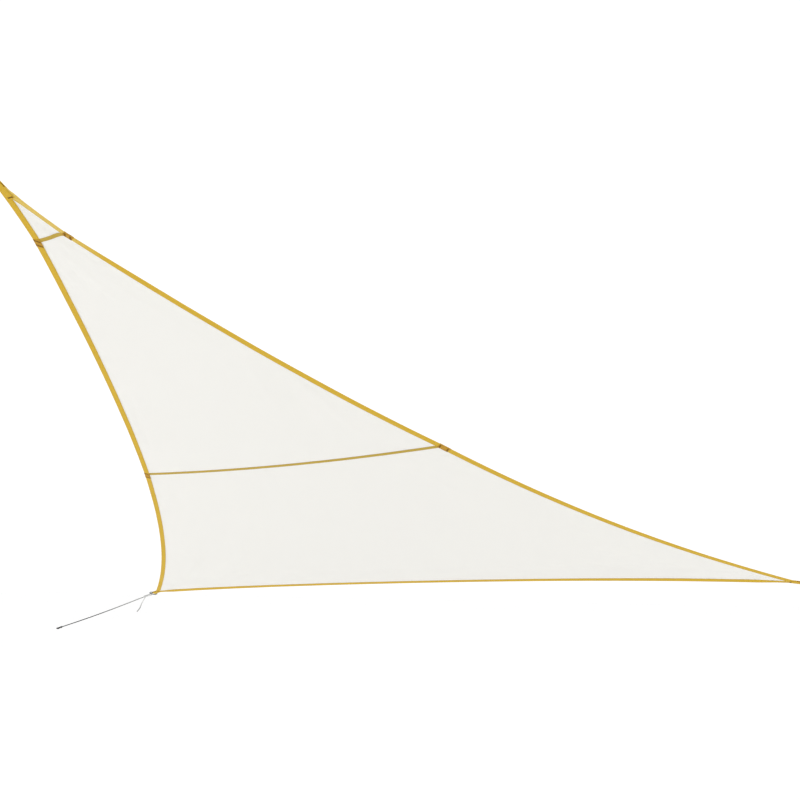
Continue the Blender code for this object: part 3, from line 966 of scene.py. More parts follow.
@dataclass(frozen=True)
class Panel:
    """One cloth panel, between two cuts across the sail.

    start and end are shares of the upper edges. flat is the size that it is cut from, and area
    its own area, as its sides are concave; neither is used here. calm is the distance from a band
    or a seam over which the folds come up. coarse and fine are patches of unevenness a metre,
    across and down.
    """

    name: str
    start: float
    end: float
    columns: int
    rows: int
    flat: tuple[float, float]
    area: float
    calm: float = 0.06
    setback: float = 0.0022
    taper: float = 0.05
    pucker: float = 0.0007
    pucker_reach: float = 0.045
    pucker_pitch: float = 0.034
    pucker_start: float = 0.008
    pucker_patches: float = 9.0
    pucker_variety: float = 0.6
    unevenness: float = 0.0022
    coarse: tuple[float, float] = (2.3, 1.9)
    fine: tuple[float, float] = (6.1, 5.3)
    fine_share: float = 0.35

    def edge(self, side: Side, share: float) -> Vector:
        """The cloth's own edge inside its band. It closes on the corner at the low corners."""
        edge = EDGES[side]
        inset = self.setback - SAIL.webbing_width / 2
        near = (1 - share) if edge.start is Corner.TOP else min(share, 1 - share)
        return SAIL.edge_point(edge, share, inset * min(near * SAIL.side / self.taper, 1.0))

    def sides(self) -> tuple[Callable[[float], Vector], ...]:
        """The panel's top, low, left and right sides, each by a share from 0 to 1."""

        def along(side: Side) -> Callable[[float], Vector]:
            """The panel's side in an upper edge."""
            return lambda v: self.edge(side, self.start + (self.end - self.start) * v)

        def across(share: float) -> Callable[[float], Vector]:
            """A straight cut from one upper edge to the other."""
            first, second = self.edge(Side.LEFT, share), self.edge(Side.UPPER, share)
            return lambda u: first.lerp(second, u)

        def low_edge(share: float) -> Vector:
            """The panel's side in the low edge."""
            return self.edge(Side.LOWER, share)

        low = low_edge if self.end == 1.0 else across(self.end)
        return across(self.start), low, along(Side.LEFT), along(Side.UPPER)

    def rise(self, x: float, y: float, to_side: float, to_seam: float) -> float:
        """Height of the cloth's folds and puckers at a point.

        Args:
            x: Place in the sail's plane.
            y: Place in the sail's plane.
            to_side: Distance to the nearer edge of the panel at left and right.
            to_seam: Distance to the nearer edge at top and bottom.

        Returns:
            The height over the smooth sag.
        """
        from_side, from_seam = to_side - SAIL.webbing_width, to_seam - SAIL.webbing_width
        calm = smooth(from_side / self.calm) * smooth(from_seam / self.calm)
        folds = sum(crease.at(x, y) for crease in CREASES) if calm else 0.0
        coarse = noise.noise(Vector((x * self.coarse[0], y * self.coarse[1], 0.0)))
        fine = noise.noise(Vector((x * self.fine[0], y * self.fine[1], 3.0)))
        slow = self.unevenness * (coarse + fine * self.fine_share)
        reach = min(from_side, from_seam)
        gather = math.exp(-max(reach, 0.0) / self.pucker_reach) * smooth(reach / self.pucker_start)
        run = y if to_side < to_seam else x
        patches = noise.noise(Vector((x * self.pucker_patches, y * self.pucker_patches, 7.0)))
        turns = run / self.pucker_pitch * (1 + self.pucker_variety * patches)
        wave = math.sin(2 * math.pi * turns)
        return (folds + slow) * calm + self.pucker * gather * wave

    def build(self, finish: bpy.types.Material) -> bpy.types.Object:
        """Args:
            finish: The cloth's material.

        Returns:
            The piece.
        """
        top, low, left, right = self.sides()
        corners = (top(0.0), top(1.0), low(0.0), low(1.0))
        points, uvs = [], []
        for v in shares(self.rows):
            left_v, right_v = left(v), right(v)
            width = (right_v - left_v).length
            for u in shares(self.columns):
                top_u, low_u = top(u), low(u)
                # the four sides blended, less the corners, which that counts twice
                flat = top_u * (1 - v) + low_u * v + left_v * (1 - u) + right_v * u
                flat = flat - (corners[0] * (1 - u) + corners[1] * u) * (1 - v)
                flat = flat - (corners[2] * (1 - u) + corners[3] * u) * v
                to_side = min(u, 1 - u) * width
                to_seam = min(v, 1 - v) * (low_u - top_u).length
                rise = self.rise(flat.x, flat.y, to_side, to_seam)
                points.append(SAIL.place(flat, rise))
                uvs.append((flat.x, flat.y))
        across = self.columns + 1
        faces = [
            (k + i, k + i + across, k + i + across + 1, k + i + 1)
            for k in range(0, self.rows * across, across)
            for i in range(self.columns)
        ]
        mesh = bpy.data.meshes.new(self.name)
        mesh.from_pydata(points, [], faces)
        layer = mesh.uv_layers.new(name="UVMap")
        for loop in mesh.loops:
            layer.data[loop.index].uv = uvs[loop.vertex_index]
        half_each_side = {"thickness": SAIL.cloth_thickness, "offset": 0.0}
        thick = outward_mesh(modified_mesh(self.name, mesh, "SOLIDIFY", half_each_side, {}))
        solid = self.name.replace("cloth_", "panel_")
        piece = make_piece(self.name, thick, finish, [solid])
        return piece


# ---- webbing ----
@dataclass(frozen=True)
class Fold:
    """Section of webbing folded over an edge: flat legs, soft lips and a round fold.

    inside is the height of its inner face over the cloth's middle.
    """

    width: float
    inside: float
    thickness: float
    lip_inside: float = 0.0004
    lip_outside: float = 0.0005
    steps: int = 7

    def points(self) -> list[tuple[float, float]]:
        """The section as (inset, height) points, round it once."""
        outer, lip = -self.width / 2, self.width / 2
        face = self.inside + self.thickness
        upper = [(lip - self.lip_inside, self.inside), (lip, self.inside + self.thickness / 2),
                 (lip - self.lip_outside, face)]
        upper += [(lip - self.width * share, face) for share in (0.25, 0.5, 0.75)]
        angles = [math.pi * (0.5 + share) for share in shares(self.steps)]
        outside, inner = [
            [(outer + face + radius * math.cos(angle), radius * math.sin(angle)) for angle in angles]
            for radius in (face, self.inside)
        ]
        under = [(inset, -height) for inset, height in reversed(upper)]
        return upper + outside + under + inner[::-1]


@dataclass(frozen=True)
class BandLength:
    """One length of edge band. A start or end of None runs to the corner's mitre.

    wander is how far its rails stray. slow and quick are patches of straying a metre.
    """

    name: str
    side: Side
    start: Union[float, None]
    end: Union[float, None]
    fold: Fold
    station: float = 0.012
    cut_out: float = 0.020
    wander: float = 0.00045
    slow: float = 5.0
    quick: float = 31.0

    def rail(self, inset: float, height: float, count: int) -> list[Vector]:
        """Points along the band at one place of its section."""
        edge = EDGES[self.side]
        start, end = self.start, self.end
        if start is None:
            start = SAIL.corner_share(edge, edge.start, inset, self.cut_out)
        if end is None:
            end = SAIL.corner_share(edge, edge.end, inset, self.cut_out)
        rail = []
        for step in shares(count):
            share = start + (end - start) * step
            place = share * SAIL.side
            drift = noise.noise(Vector((place * self.slow, len(self.side.value), 1.0)))
            drift += noise.noise(Vector((place * self.quick, 2.0, 4.0))) / 2
            flat = SAIL.edge_point(edge, share, inset + drift * self.wander)
            rail.append(SAIL.place(flat, height))
        return rail

    def build(self, finish: bpy.types.Material, nodes: Iterable[str] = ()) -> bpy.types.Object:
        """Makes the length of band.

        Args:
            finish: Its material.
            nodes: The solids that it stands for.

        Returns:
            The piece.
        """
        section = self.fold.points()
        first = 0.0 if self.start is None else self.start
        last = 1.0 if self.end is None else self.end
        count = max(int((last - first) * SAIL.side / self.station), 4)
        rails = [self.rail(inset, height, count) for inset, height in section]
        along = [(first + (last - first) * share) * SAIL.side for share in shares(count)]
        mesh = loft(self.name, list(zip(*rails)), perimeter(section), along)
        return make_piece(self.name, mesh, finish, nodes)


@dataclass(frozen=True)
class SeamTape:
    """Tape under a seam, from the lip of one band to the lip of the other.

    lap is how far it runs under the bands, gap lies between it and the cloth, and wander is how
    far it strays, with that many patches a metre.
    """

    name: str
    share: float
    width: float
    thickness: float = 0.0008
    gap: float = 0.0003
    lap: float = 0.0005
    soft_edge: float = 0.0003
    crown: float = 0.0001
    station: float = 0.015
    wander: float = 0.0004
    patches: float = 14.0

    def point(self, run: float, across: float, height: float) -> Vector:
        """A point of the tape: its share of the run, metres across it, and height."""
        inset = SAIL.webbing_width / 2 - self.lap
        share = self.share + across / SAIL.height
        left = SAIL.edge_point(EDGES[Side.LEFT], share, inset)
        right = SAIL.edge_point(EDGES[Side.UPPER], share, inset)
        return SAIL.place(left.lerp(right, run), height)

    @property
    def length(self) -> float:
        """Length between the bands."""
        return (self.point(1.0, 0.0, 0.0) - self.point(0.0, 0.0, 0.0)).length

    @property
    def back(self) -> float:
        """Height of the tape's face towards the cloth."""
        return -(SAIL.cloth_thickness / 2 + self.gap)

    @property
    def face(self) -> float:
        """Height of the tape's outer face, under the cloth."""
        return self.back - self.thickness

    def build(self, finish: bpy.types.Material) -> bpy.types.Object:
        """Makes the tape."""
        half, soft, middle = self.width / 2, self.soft_edge, (self.back + self.face) / 2
        section = [(-half, self.back), (half, self.back), (half + soft, middle),
                   (half - soft, self.face), (0.0, self.face - self.crown),
                   (soft - half, self.face), (-half - soft, middle)]
        sections, along = [], []
        for run in shares(max(int(self.length / self.station), 6)):
            place = run * self.length
            drift = self.wander * noise.noise(Vector((place * self.patches, 0.0, 9.0)))
            sections.append([self.point(run, across + drift, height)
                             for across, height in section])
            along.append(place)
        mesh = loft(self.name, sections, perimeter(section), along)
        solid = self.name.replace("tape", "seam_tape")
        return make_piece(self.name, mesh, finish, [solid])


# ---- sewing ----
@dataclass(frozen=True)
class SewnLine:
    """A line to sew: its points, and the way that each stitch lies."""

    points: list[Vector]
    lay: list[Vector]

    @classmethod
    def running(cls, points: list[Vector]) -> "SewnLine":
        """A row whose stitches lie along it."""
        ends = [points[0], *points, points[-1]]
        return cls(points, [(b - a).normalized() for a, b in zip(ends, ends[2:])])

    @classmethod
    def barred(cls, points: list[Vector], lay: Vector) -> "SewnLine":
        """A bar whose stitches lie across it, side by side."""
        return cls(points, [lay.normalized()] * len(points))


class ShapeTree(NodeMaker):
    """Geometry Nodes that make a finished shape along the lines of a mesh."""

    NAME = "shape"
    STEP = "Step"
    NUMBERS: tuple[str, ...] = ()

    def __init__(self) -> None:
        """Builds the tree. A mesh, named numbers and a finish go in, and the shape comes out."""
        super().__init__(bpy.data.node_groups.new(self.NAME, "GeometryNodeTree"))
        kinds = {"Geometry": "Geometry", self.STEP: "Float"}
        kinds.update(dict.fromkeys(self.NUMBERS, "Float"))
        kinds["Finish"] = "Material"
        new_socket = self.tree.interface.new_socket
        self.ids = {
            name: new_socket(name, in_out="INPUT", socket_type=f"NodeSocket{kind}").identifier
            for name, kind in kinds.items()
        }
        new_socket("Geometry", in_out="OUTPUT", socket_type="NodeSocketGeometry")
        inputs = self.node("NodeGroupInput", {}, {}).outputs
        given = {name: Value(self, inputs[name]) for name in self.ids}
        line = self.output("GeometryNodeMeshToCurve", {}, {"Mesh": given["Geometry"]})
        walked = self.output("GeometryNodeResampleCurve", {"mode": "LENGTH"},
                             {"Curve": line, "Length": given[self.STEP]})
        shape = self.shape(walked, given)
        real = self.output("GeometryNodeRealizeInstances", {}, {"Geometry": shape})
        dressed = self.output("GeometryNodeSetMaterial", {},
                              {"Geometry": real, "Material": given["Finish"]})
        self.node("NodeGroupOutput", {}, {"Geometry": dressed})

    def shape(self, walked: bpy.types.NodeSocket, given: dict[str, Value]
              ) -> bpy.types.NodeSocket:
        """Links the nodes that turn the walked lines into the shape."""
        raise NotImplementedError

    def scaled(self, vector: bpy.types.NodeSocket, factor: Union[Value, bpy.types.NodeSocket]
               ) -> bpy.types.NodeSocket:
        """A vector times a number."""
        inputs = {0: vector, "Scale": factor}
        return self.output("ShaderNodeVectorMath", {"operation": "SCALE"}, inputs)

    def run(self, name: str, lines: bpy.types.Mesh, inputs: dict[str, Any]) -> bpy.types.Mesh:
        """Puts a mesh of lines through the tree, with the tree's inputs by name."""
        by_socket = {self.ids[key]: given for key, given in inputs.items()}
        return modified_mesh(name, lines, "NODES", {"node_group": self.tree}, by_socket)


class StitchTree(ShapeTree):
    """Geometry Nodes that sew stitches along lines."""

    NAME = "stitches"
    STEP = "Pitch"
    NUMBERS = ("Stitch Length", "Thread Radius", "Unevenness")
    LAY = "lay"
    SEED = 5

    def shape(self, walked: bpy.types.NodeSocket, given: dict[str, Value]
              ) -> bpy.types.NodeSocket:
        """Lays a stitch at each step, turned the way that the line's points say."""
        lay = self.output("GeometryNodeInputNamedAttribute", {"data_type": "FLOAT_VECTOR"},
                          {"Name": self.LAY})
        turn = self.output("FunctionNodeAlignRotationToVector", {"axis": "Z"}, {"Vector": lay})
        radius, unevenness = given["Thread Radius"], given["Unevenness"]
        size = self.output("ShaderNodeCombineXYZ", {},
                           {0: radius, 1: radius, 2: given["Stitch Length"] * 0.5})
        uneven = self.output("FunctionNodeRandomValue", {"data_type": "FLOAT"},
                             {2: 1.0 - unevenness, 3: 1.0 + unevenness, "Seed": self.SEED}, 1)
        stitch = self.output("GeometryNodeMeshUVSphere", {},
                             {"Segments": 6, "Rings": 4, "Radius": 1.0}, "Mesh")
        return self.output("GeometryNodeInstanceOnPoints", {},
                           {"Points": walked, "Instance": stitch, "Rotation": turn,
                            "Scale": self.scaled(size, uneven)})

    def sew(self, name: str, lines: Sequence[SewnLine], inputs: dict[str, Any]
            ) -> bpy.types.Mesh:
        """Sews lines and returns the stitches as a plain mesh.

        Args:
            name: The mesh's name.
            lines: The lines to sew.
            inputs: The tree's inputs by name.

        Returns:
            The stitches.
        """
        points, edges, lay = [], [], []
        for line in lines:
            first = len(points)
            points.extend(line.points)
            lay.extend(line.lay)
            edges.extend((first + i, first + i + 1) for i in range(len(line.points) - 1))
        mesh = bpy.data.meshes.new("sewn_lines")
        mesh.from_pydata(points, edges, [])
        attribute = mesh.attributes.new(self.LAY, "FLOAT_VECTOR", "POINT")
        attribute.data.foreach_set("vector", [number for way in lay for number in way])
        return self.run(name, mesh, inputs)


@dataclass(frozen=True)
class Sewing:
    """The stitch rows and bars of the sail."""

    tree: StitchTree
    thread: bpy.types.Material
    tack: bpy.types.Material
    pitch: float = 0.0045
    length: float = 0.0037
    radius: float = 0.00034
    unevenness: float = 0.08
    bar_pitch: float = 0.0007
    bar_radius: float = 0.00042
    bar_unevenness: float = 0.12

    def rows(self, name: str, lines: Sequence[SewnLine]) -> bpy.types.Object:
        """Sews running rows as one piece."""
        mesh = self.tree.sew(name, lines, {
            "Pitch": self.pitch, "Stitch Length": self.length, "Thread Radius": self.radius,
            "Unevenness": self.unevenness, "Finish": self.thread})
        return make_piece(name, mesh, self.thread)

    def bars(self, name: str, lines: Sequence[SewnLine], length: float) -> bpy.types.Object:
        """Sews dense bars as one piece, with stitches of that length."""
        mesh = self.tree.sew(name, lines, {
            "Pitch": self.bar_pitch, "Stitch Length": length, "Thread Radius": self.bar_radius,
            "Unevenness": self.bar_unevenness, "Finish": self.tack})
        return make_piece(name, mesh, self.tack)


# ---- the edges: bands, patches over their joints, and their sewing ----
@dataclass(frozen=True)
class EdgeBands:
    """The folded webbing round the sail, its doubled joints at the seams, and its stitch rows.

    cut is the gap between two lengths of band. A patch starts patch_before above its seam.
    """

    finishes: Finishes
    sewing: Sewing
    inside: float = 0.0007
    thickness: float = 0.0013
    cut: float = 0.0015
    row_insets: tuple[float, float] = (-0.0065, 0.0090)
    row_cut_out: float = 0.016
    row_points: int = 220
    tip_patch: float = 0.032
    main_patches: tuple[float, float] = (0.047, 0.050)  # at the left and the upper edge
    patch_before: float = 0.004
    patch_wider: float = 0.0012
    patch_gap: float = 0.0001
    patch_thickness: float = 0.0010
    patch_station: float = 0.004
    bar_insets: tuple[float, float] = (0.007, 0.006)  # from the patch's two ends
    bar_length: float = 0.0080
    bar_slant: float = 0.004
    bar_margin: float = 0.002
    bar_steps: int = 8

    def build(self) -> None:
        """Makes every length of band, with its rows, joints and bars."""
        fold = Fold(SAIL.webbing_width, self.inside, self.thickness)
        half = self.cut / SAIL.side
        spans = {
            "tip": (None, SAIL.tip_seam - half),
            "middle": (SAIL.tip_seam + half, SAIL.main_seam - half),
            "base": (SAIL.main_seam + half, None),
        }
        # the upper edge's bands carry painted light by the top corner
        finishes = (self.finishes.webbing, self.finishes.sunned)
        for side, main_patch, finish in zip((Side.LEFT, Side.UPPER), self.main_patches, finishes):
            for part, (start, end) in spans.items():
                name = f"{side.value}_{part}"
                BandLength(f"webbing_{name}", side, start, end, fold).build(finish, [f"band_{name}"])
            self.joint(side, "tip", SAIL.tip_seam, self.tip_patch)
            self.joint(side, "main", SAIL.main_seam, main_patch)
        lower = BandLength("webbing_lower", Side.LOWER, None, None, fold)
        lower.build(self.finishes.webbing, ["band_lower"])
        for side in Side:
            self.sew(side)

    def joint(self, side: Side, name: str, share: float, length: float) -> None:
        """Doubles the webbing over a joint, and tacks it down with a slanted bar at each end."""
        fold = Fold(SAIL.webbing_width + self.patch_wider,
                    self.inside + self.thickness + self.patch_gap, self.patch_thickness)
        start = share - self.patch_before / SAIL.side
        end = start + length / SAIL.side
        label = f"{side.value}_{name}"
        patch = BandLength(f"joint_{label}", side, start, end, fold, station=self.patch_station,
                           wander=0.0)
        # its darker colour is painted shade
        patch.build(self.finishes.doubled)
        first, last = (inset / SAIL.side for inset in self.bar_insets)
        height = fold.inside + fold.thickness
        lines = [self.bar(side, middle, height * face.value)
                 for face in Face for middle in (start + first, end - last)]
        self.sewing.bars(f"tacks_{label}", lines, self.bar_length)

    def bar(self, side: Side, share: float, height: float) -> SewnLine:
        """A slanted bar across the band."""
        edge, half = EDGES[side], SAIL.webbing_width / 2 - self.bar_margin
        slant, step = self.bar_slant / SAIL.side, 0.001
        points = []
        for t in shares(self.bar_steps):
            across = 2 * t - 1
            flat = SAIL.edge_point(edge, share + across * slant, across * half)
            points.append(SAIL.place(flat, height))
        run = SAIL.place(SAIL.edge_point(edge, share + step), height)
        back = SAIL.place(SAIL.edge_point(edge, share - step), height)
        return SewnLine.barred(points, run - back)

    def sew(self, side: Side) -> None:
        """Sews two rows down each face of an edge."""
        edge, height = EDGES[side], self.inside + self.thickness
        lines = []
        for face in Face:
            for inset in self.row_insets:
                start = SAIL.corner_share(edge, edge.start, inset, self.row_cut_out)
                end = SAIL.corner_share(edge, edge.end, inset, self.row_cut_out)
                flat = [SAIL.edge_point(edge, start + (end - start) * t, inset)
                        for t in shares(self.row_points)]
                lines.append(SewnLine.running([SAIL.place(point, height * face.value)
                                               for point in flat]))
        self.sewing.rows(f"stitches_{side.value}", lines)


@dataclass(frozen=True)
class Seams:
    """The two tapes and the rows that hold them."""

    finishes: Finishes
    sewing: Sewing
    tip_width: float = 0.0106
    main_width: float = 0.016
    row_inset: float = 0.0022
    row_points: int = 60

    def build(self) -> None:
        """Makes each tape and its rows."""
        for tape in (SeamTape("tape_tip", SAIL.tip_seam, self.tip_width),
                     SeamTape("tape_main", SAIL.main_seam, self.main_width)):
            tape.build(self.finishes.tape)
            row = tape.width / 2 - self.row_inset
            lines = []
            for across in (-row, row):
                for height in (tape.face, SAIL.cloth_thickness / 2):
                    points = [tape.point(t, across, height) for t in shares(self.row_points)]
                    lines.append(SewnLine.running(points))
            self.sewing.rows(f"stitches_{tape.name}", lines)


# ---- corners ----
@dataclass(frozen=True)
class CornerLoop:
    """Webbing folded round the ring's bar, its legs sewn over and under a corner.

    leg is the height of the legs' middle. They reach in over the cloth, and open out from opens
    on. The round starts at round_start of its radius before the bar. The insets are from the
    legs' ends, except the box's second one, which is from opens.
    """

    corner: Corner
    thickness: float = 0.0014
    soft_edge: float = 0.0006
    reach_in: float = 0.021
    opens: float = 0.034
    leg: float = 0.00305
    round_start: float = 0.4
    round_gap: float = 0.0005
    bar_inset: float = 0.005
    bar_margin: float = 0.002
    bar_steps: int = 8
    bar_length: float = 0.0060
    box_insets: tuple[float, float] = (0.011, 0.008)
    box_margin: float = 0.0035

    def point(self, out: float, aside: float, height: float) -> Vector:
        """A point near the corner, in the frame."""
        return SAIL.world(SAIL.hang(SAIL.at_corner(self.corner, out, aside, height)))

    def path(self) -> list[tuple[float, float]]:
        """The webbing's middle as (out, height) points: over, round the bar, and back under."""
        eye = SAIL.ring_wire / 2 + self.round_gap + self.thickness / 2
        bar = SAIL.ring_bar_out
        upper = [(self.reach_in * (share - 1), self.leg) for share in shares(8)]
        upper += [(self.opens * share, self.leg) for share in (0.35, 0.7, 1.0)]
        last = bar - self.round_start * eye
        for share in shares(7)[1:-1]:
            rise = self.leg + (eye - self.leg) * smooth(share)
            upper.append((self.opens + (last - self.opens) * share, rise))
        turn = [(bar + eye * math.sin(angle), eye * math.cos(angle))
                for angle in (math.pi * share for share in shares(20))]
        return upper + turn + [(out, -height) for out, height in reversed(upper)]

    def build(self, finish: bpy.types.Material) -> bpy.types.Object:
        """Makes the loop."""
        path = self.path()
        half, thin = SAIL.webbing_width / 2, self.thickness / 2
        flat = (self.soft_edge - half, -half / 2, 0.0, half / 2, half - self.soft_edge)
        section = [(-half, 0.0), *[(across, thin) for across in flat],
                   (half, 0.0), *[(-across, -thin) for across in flat]]
        sections, along = [], [0.0]
        for i, (out, height) in enumerate(path):
            before, after = path[max(i - 1, 0)], path[min(i + 1, len(path) - 1)]
            run = Vector((after[0] - before[0], after[1] - before[1])).normalized()
            sections.append([self.point(out - run.y * off, aside, height + run.x * off)
                             for aside, off in section])
            if i:
                along.append(along[-1] + math.dist(path[i - 1], path[i]))
        name = f"loop_webbing_{self.corner.value}"
        mesh = loft(name, sections, perimeter(section), along)
        return make_piece(name, mesh, finish, [f"loop_{self.corner.value}"])

    def end_bars(self) -> list[SewnLine]:
        """A bar across the end of each leg."""
        out, half = self.bar_inset - self.reach_in, SAIL.webbing_width / 2 - self.bar_margin
        lines, step = [], 0.001
        for face in Face:
            height = (self.leg + self.thickness / 2) * face.value
            points = [self.point(out, half * (2 * t - 1), height) for t in shares(self.bar_steps)]
            along = self.point(out + step, 0.0, height) - self.point(out, 0.0, height)
            lines.append(SewnLine.barred(points, along))
        return lines

    def box_stitch(self) -> list[SewnLine]:
        """A box with a cross in it on each face."""
        inner, outer = self.box_insets[0] - self.reach_in, self.opens - self.box_insets[1]
        half = SAIL.webbing_width / 2 - self.box_margin
        box = [(inner, -half), (outer, -half), (outer, half), (inner, half), (inner, -half)]
        crosses = [((inner, -half), (outer, half)), ((inner, half), (outer, -half))]
        lines = []
        for face in Face:
            height = (self.leg + self.thickness / 2) * face.value
            for start, end in (*zip(box, box[1:]), *crosses):
                lines.append(SewnLine.running([
                    self.point(start[0] + (end[0] - start[0]) * t,
                               start[1] + (end[1] - start[1]) * t, height)
                    for t in shares(10)]))
        return lines

    def sew(self, sewing: Sewing) -> None:
        """Sews the box and the bars."""
        sewing.rows(f"stitches_loop_{self.corner.value}", self.box_stitch())
        sewing.bars(f"tacks_loop_{self.corner.value}", self.end_bars(), self.bar_length)


def closed_tube(name: str, path: Sequence[Vector], radius: float, sides: int) -> bpy.types.Mesh:
    """A round tube whose ends meet, with its frame carried along without twist.

    Args:
        name: The mesh's name.
        path: Middle of the tube.
        radius: Its radius.
        sides: Points round it.

    Returns:
        The mesh.
    """
    ways = [(after - before).normalized()
            for before, after in zip([path[-1], *path], [*path[1:], path[0]])]
    side = ways[0].orthogonal().normalized()
    points = []
    for place, way in zip(path, ways):
        side = (side - way * side.dot(way)).normalized()
        up = way.cross(side)
        for share in shares(sides)[:-1]:
            angle = 2 * math.pi * share
            points.append(place + (side * math.cos(angle) + up * math.sin(angle)) * radius)
    mesh = bpy.data.meshes.new(name)
    mesh.from_pydata(points, [], wall_faces(len(path), sides, closed=True))
    return outward_mesh(mesh)


@dataclass(frozen=True)
class Ring:
    """A D ring of bent wire, its ends welded in the middle of the bar."""

    corner: Corner
    width: float = 0.041
    bend: float = 0.004
    sides: int = 20
    weld_rise: float = 0.0003
    weld_reach: float = 0.0016

    def outline(self) -> list[Vector]:
        """Middle of the wire in the ring's own plane: bar on the x axis, bow towards +y."""

        def arc(x: float, y: float, radius: float, first: float, last: float,
                steps: int) -> list[Vector]:
            """Points of an arc round a middle, between two angles in degrees."""
            angles = [math.radians(first + (last - first) * share) for share in shares(steps)]
            return [Vector((x + radius * math.cos(a), y + radius * math.sin(a), 0.0))
                    for a in angles]

        half, bend, depth = self.width / 2, self.bend, SAIL.ring_depth
        bar = [Vector((x * (half - bend), 0.0, 0.0)) for x in (-0.6, -0.2, -0.05, 0.05, 0.2, 0.6)]
        outline = arc(bend - half, bend, bend, 180, 270, 8) + bar
        outline += arc(half - bend, bend, bend, 270, 360, 8)
        return outline + arc(0.0, depth - half, half, 0, 180, 48)

    def build(self, finish: bpy.types.Material) -> bpy.types.Object:
        """Makes the ring, with the swell of the weld on its bar."""
        place = SAIL.ring_frame(self.corner)
        path = [place @ point for point in self.outline()]
        name = f"d_ring_{self.corner.value}"
        mesh = closed_tube(name, path, SAIL.ring_wire / 2, self.sides)
        middle, bar = place.to_translation(), place.to_3x3() @ Vector((1.0, 0.0, 0.0))
        for vertex in mesh.vertices:
            away = vertex.co - middle
            off_wire = (away.length - SAIL.ring_wire / 2) / self.weld_reach
            swell = self.weld_rise * math.exp(-off_wire**2)
            square = (away - bar * away.dot(bar)).normalized()
            vertex.co = SAIL.world(vertex.co + square * swell)
        return make_piece(name, outward_mesh(mesh), finish, [f"ring_{self.corner.value}"])


# ---- the cord at the left corner ----
# The taut cord between its knots: share of the way, and how far it droops there.
CORD_ROUTE = (
    (0.00, 0.0000), (0.04, 0.0006), (0.10, 0.0016), (0.18, 0.0028), (0.26, 0.0038),
    (0.34, 0.0046), (0.42, 0.0051), (0.50, 0.0053), (0.58, 0.0052), (0.66, 0.0047),
    (0.74, 0.0039), (0.82, 0.0029), (0.90, 0.0017), (0.96, 0.0007), (1.00, 0.0000),
)
# The loose tail below the knot, as (left in the picture, down).
TAIL_ROUTE = (
    (0.0000, 0.0085), (0.0025, 0.0140), (0.0076, 0.0230), (0.0125, 0.0320), (0.0172, 0.0415),
    (0.0205, 0.0510), (0.0232, 0.0600), (0.0268, 0.0685), (0.0320, 0.0775), (0.0380, 0.0855),
    (0.0440, 0.0930),
)
PICTURE_LEFT = Vector((-0.896, -0.444, 0.0))


class BraidTree(ShapeTree):
    """Geometry Nodes that make a braided cord along a line."""

    NAME = "braid"
    NUMBERS = ("Radius", "Lay", "Strands", "Relief", "Shade Start", "Shade End", "Tracer Lay",
               "Pale", "Pale End")
    SIDES = 20
    VALLEY = 0.4  # lifts the valleys between the strands, whose tops stay at 1
    TRACER_LEVEL = 0.80
    # the painted highlight near the knot: how it fades, rises and starts
    PALE_FADE = 0.04
    PALE_RISE = 0.08
    PALE_FIRST = 0.45
    WELD = 0.00002  # joins the caps to the tube

    def shape(self, walked: bpy.types.NodeSocket, given: dict[str, Value]
              ) -> bpy.types.NodeSocket:
        """Sweeps a tube along the line, raises its strands, and notes how each point looks."""
        length = self.value("GeometryNodeSplineParameter", {}, {}, "Length")
        line, length = self.keep(walked, length)
        circle = self.output("GeometryNodeCurvePrimitiveCircle", {"mode": "RADIUS"},
                             {"Resolution": self.SIDES, "Radius": given["Radius"]})
        index = self.value("GeometryNodeInputIndex", {}, {})
        profile, angle = self.keep(circle, index * (2 * math.pi / self.SIDES))
        swept = self.output("GeometryNodeCurveToMesh", {},
                            {"Curve": line, "Profile Curve": profile, "Fill Caps": True})
        round_angle = angle * given["Strands"]
        walk = length * (2 * math.pi) / given["Lay"]
        one, other = (round_angle + walk).wave(), (round_angle - walk).wave()
        raised = (one.largest(other) + self.VALLEY) * (1 / (1 + self.VALLEY))
        spiral = (angle + length * (2 * math.pi) / given["Tracer Lay"]).reckon("COSINE")
        tracer = spiral.above(self.TRACER_LEVEL) * one.above(other)
        # painted shade: rises between the two given places along the cord
        shade_start, shade_end = given["Shade Start"], given["Shade End"]
        end_shade = ((length - shade_start) / (shade_end - shade_start)).held()
        # painted highlight: rises over the first stretch and fades out at its given end
        pale = ((given["Pale End"] - length) / self.PALE_FADE).held()
        pale = pale * (length / self.PALE_RISE + self.PALE_FIRST).held() * given["Pale"]
        normal = self.output("GeometryNodeInputNormal", {}, {})
        offset = self.scaled(normal, (raised - 0.5) * given["Relief"])
        shape = self.output("GeometryNodeSetPosition", {}, {"Geometry": swept, "Offset": offset})
        for attribute, number in ((BraidAttribute.RAISED, raised), (BraidAttribute.SOIL, end_shade),
                                  (BraidAttribute.TRACER, tracer), (BraidAttribute.PALE, pale)):
            shape = self.output("GeometryNodeStoreNamedAttribute",
                                {"data_type": "FLOAT", "domain": "POINT"},
                                {"Geometry": shape, "Name": attribute.value, "Value": number})
        return shape

    def keep(self, geometry: bpy.types.NodeSocket, number: Value
             ) -> tuple[bpy.types.NodeSocket, Value]:
        """Captures a number on the points of a geometry."""
        made = self.node("GeometryNodeCaptureAttribute", {}, {0: geometry})
        made.capture_items.new("FLOAT", "kept")
        self.tree.links.new(number.socket, made.inputs[1])
        return made.outputs[0], Value(self, made.outputs[1])

    def braid(self, name: str, path: Sequence[Vector], inputs: dict[str, Any]) -> bpy.types.Mesh:
        """Sweeps a braided cord along a path, and returns it as a plain closed mesh."""
        mesh = bpy.data.meshes.new("cord_line")
        mesh.from_pydata(list(path), [(i, i + 1) for i in range(len(path) - 1)], [])
        return outward_mesh(self.run(name, mesh, inputs), self.WELD)


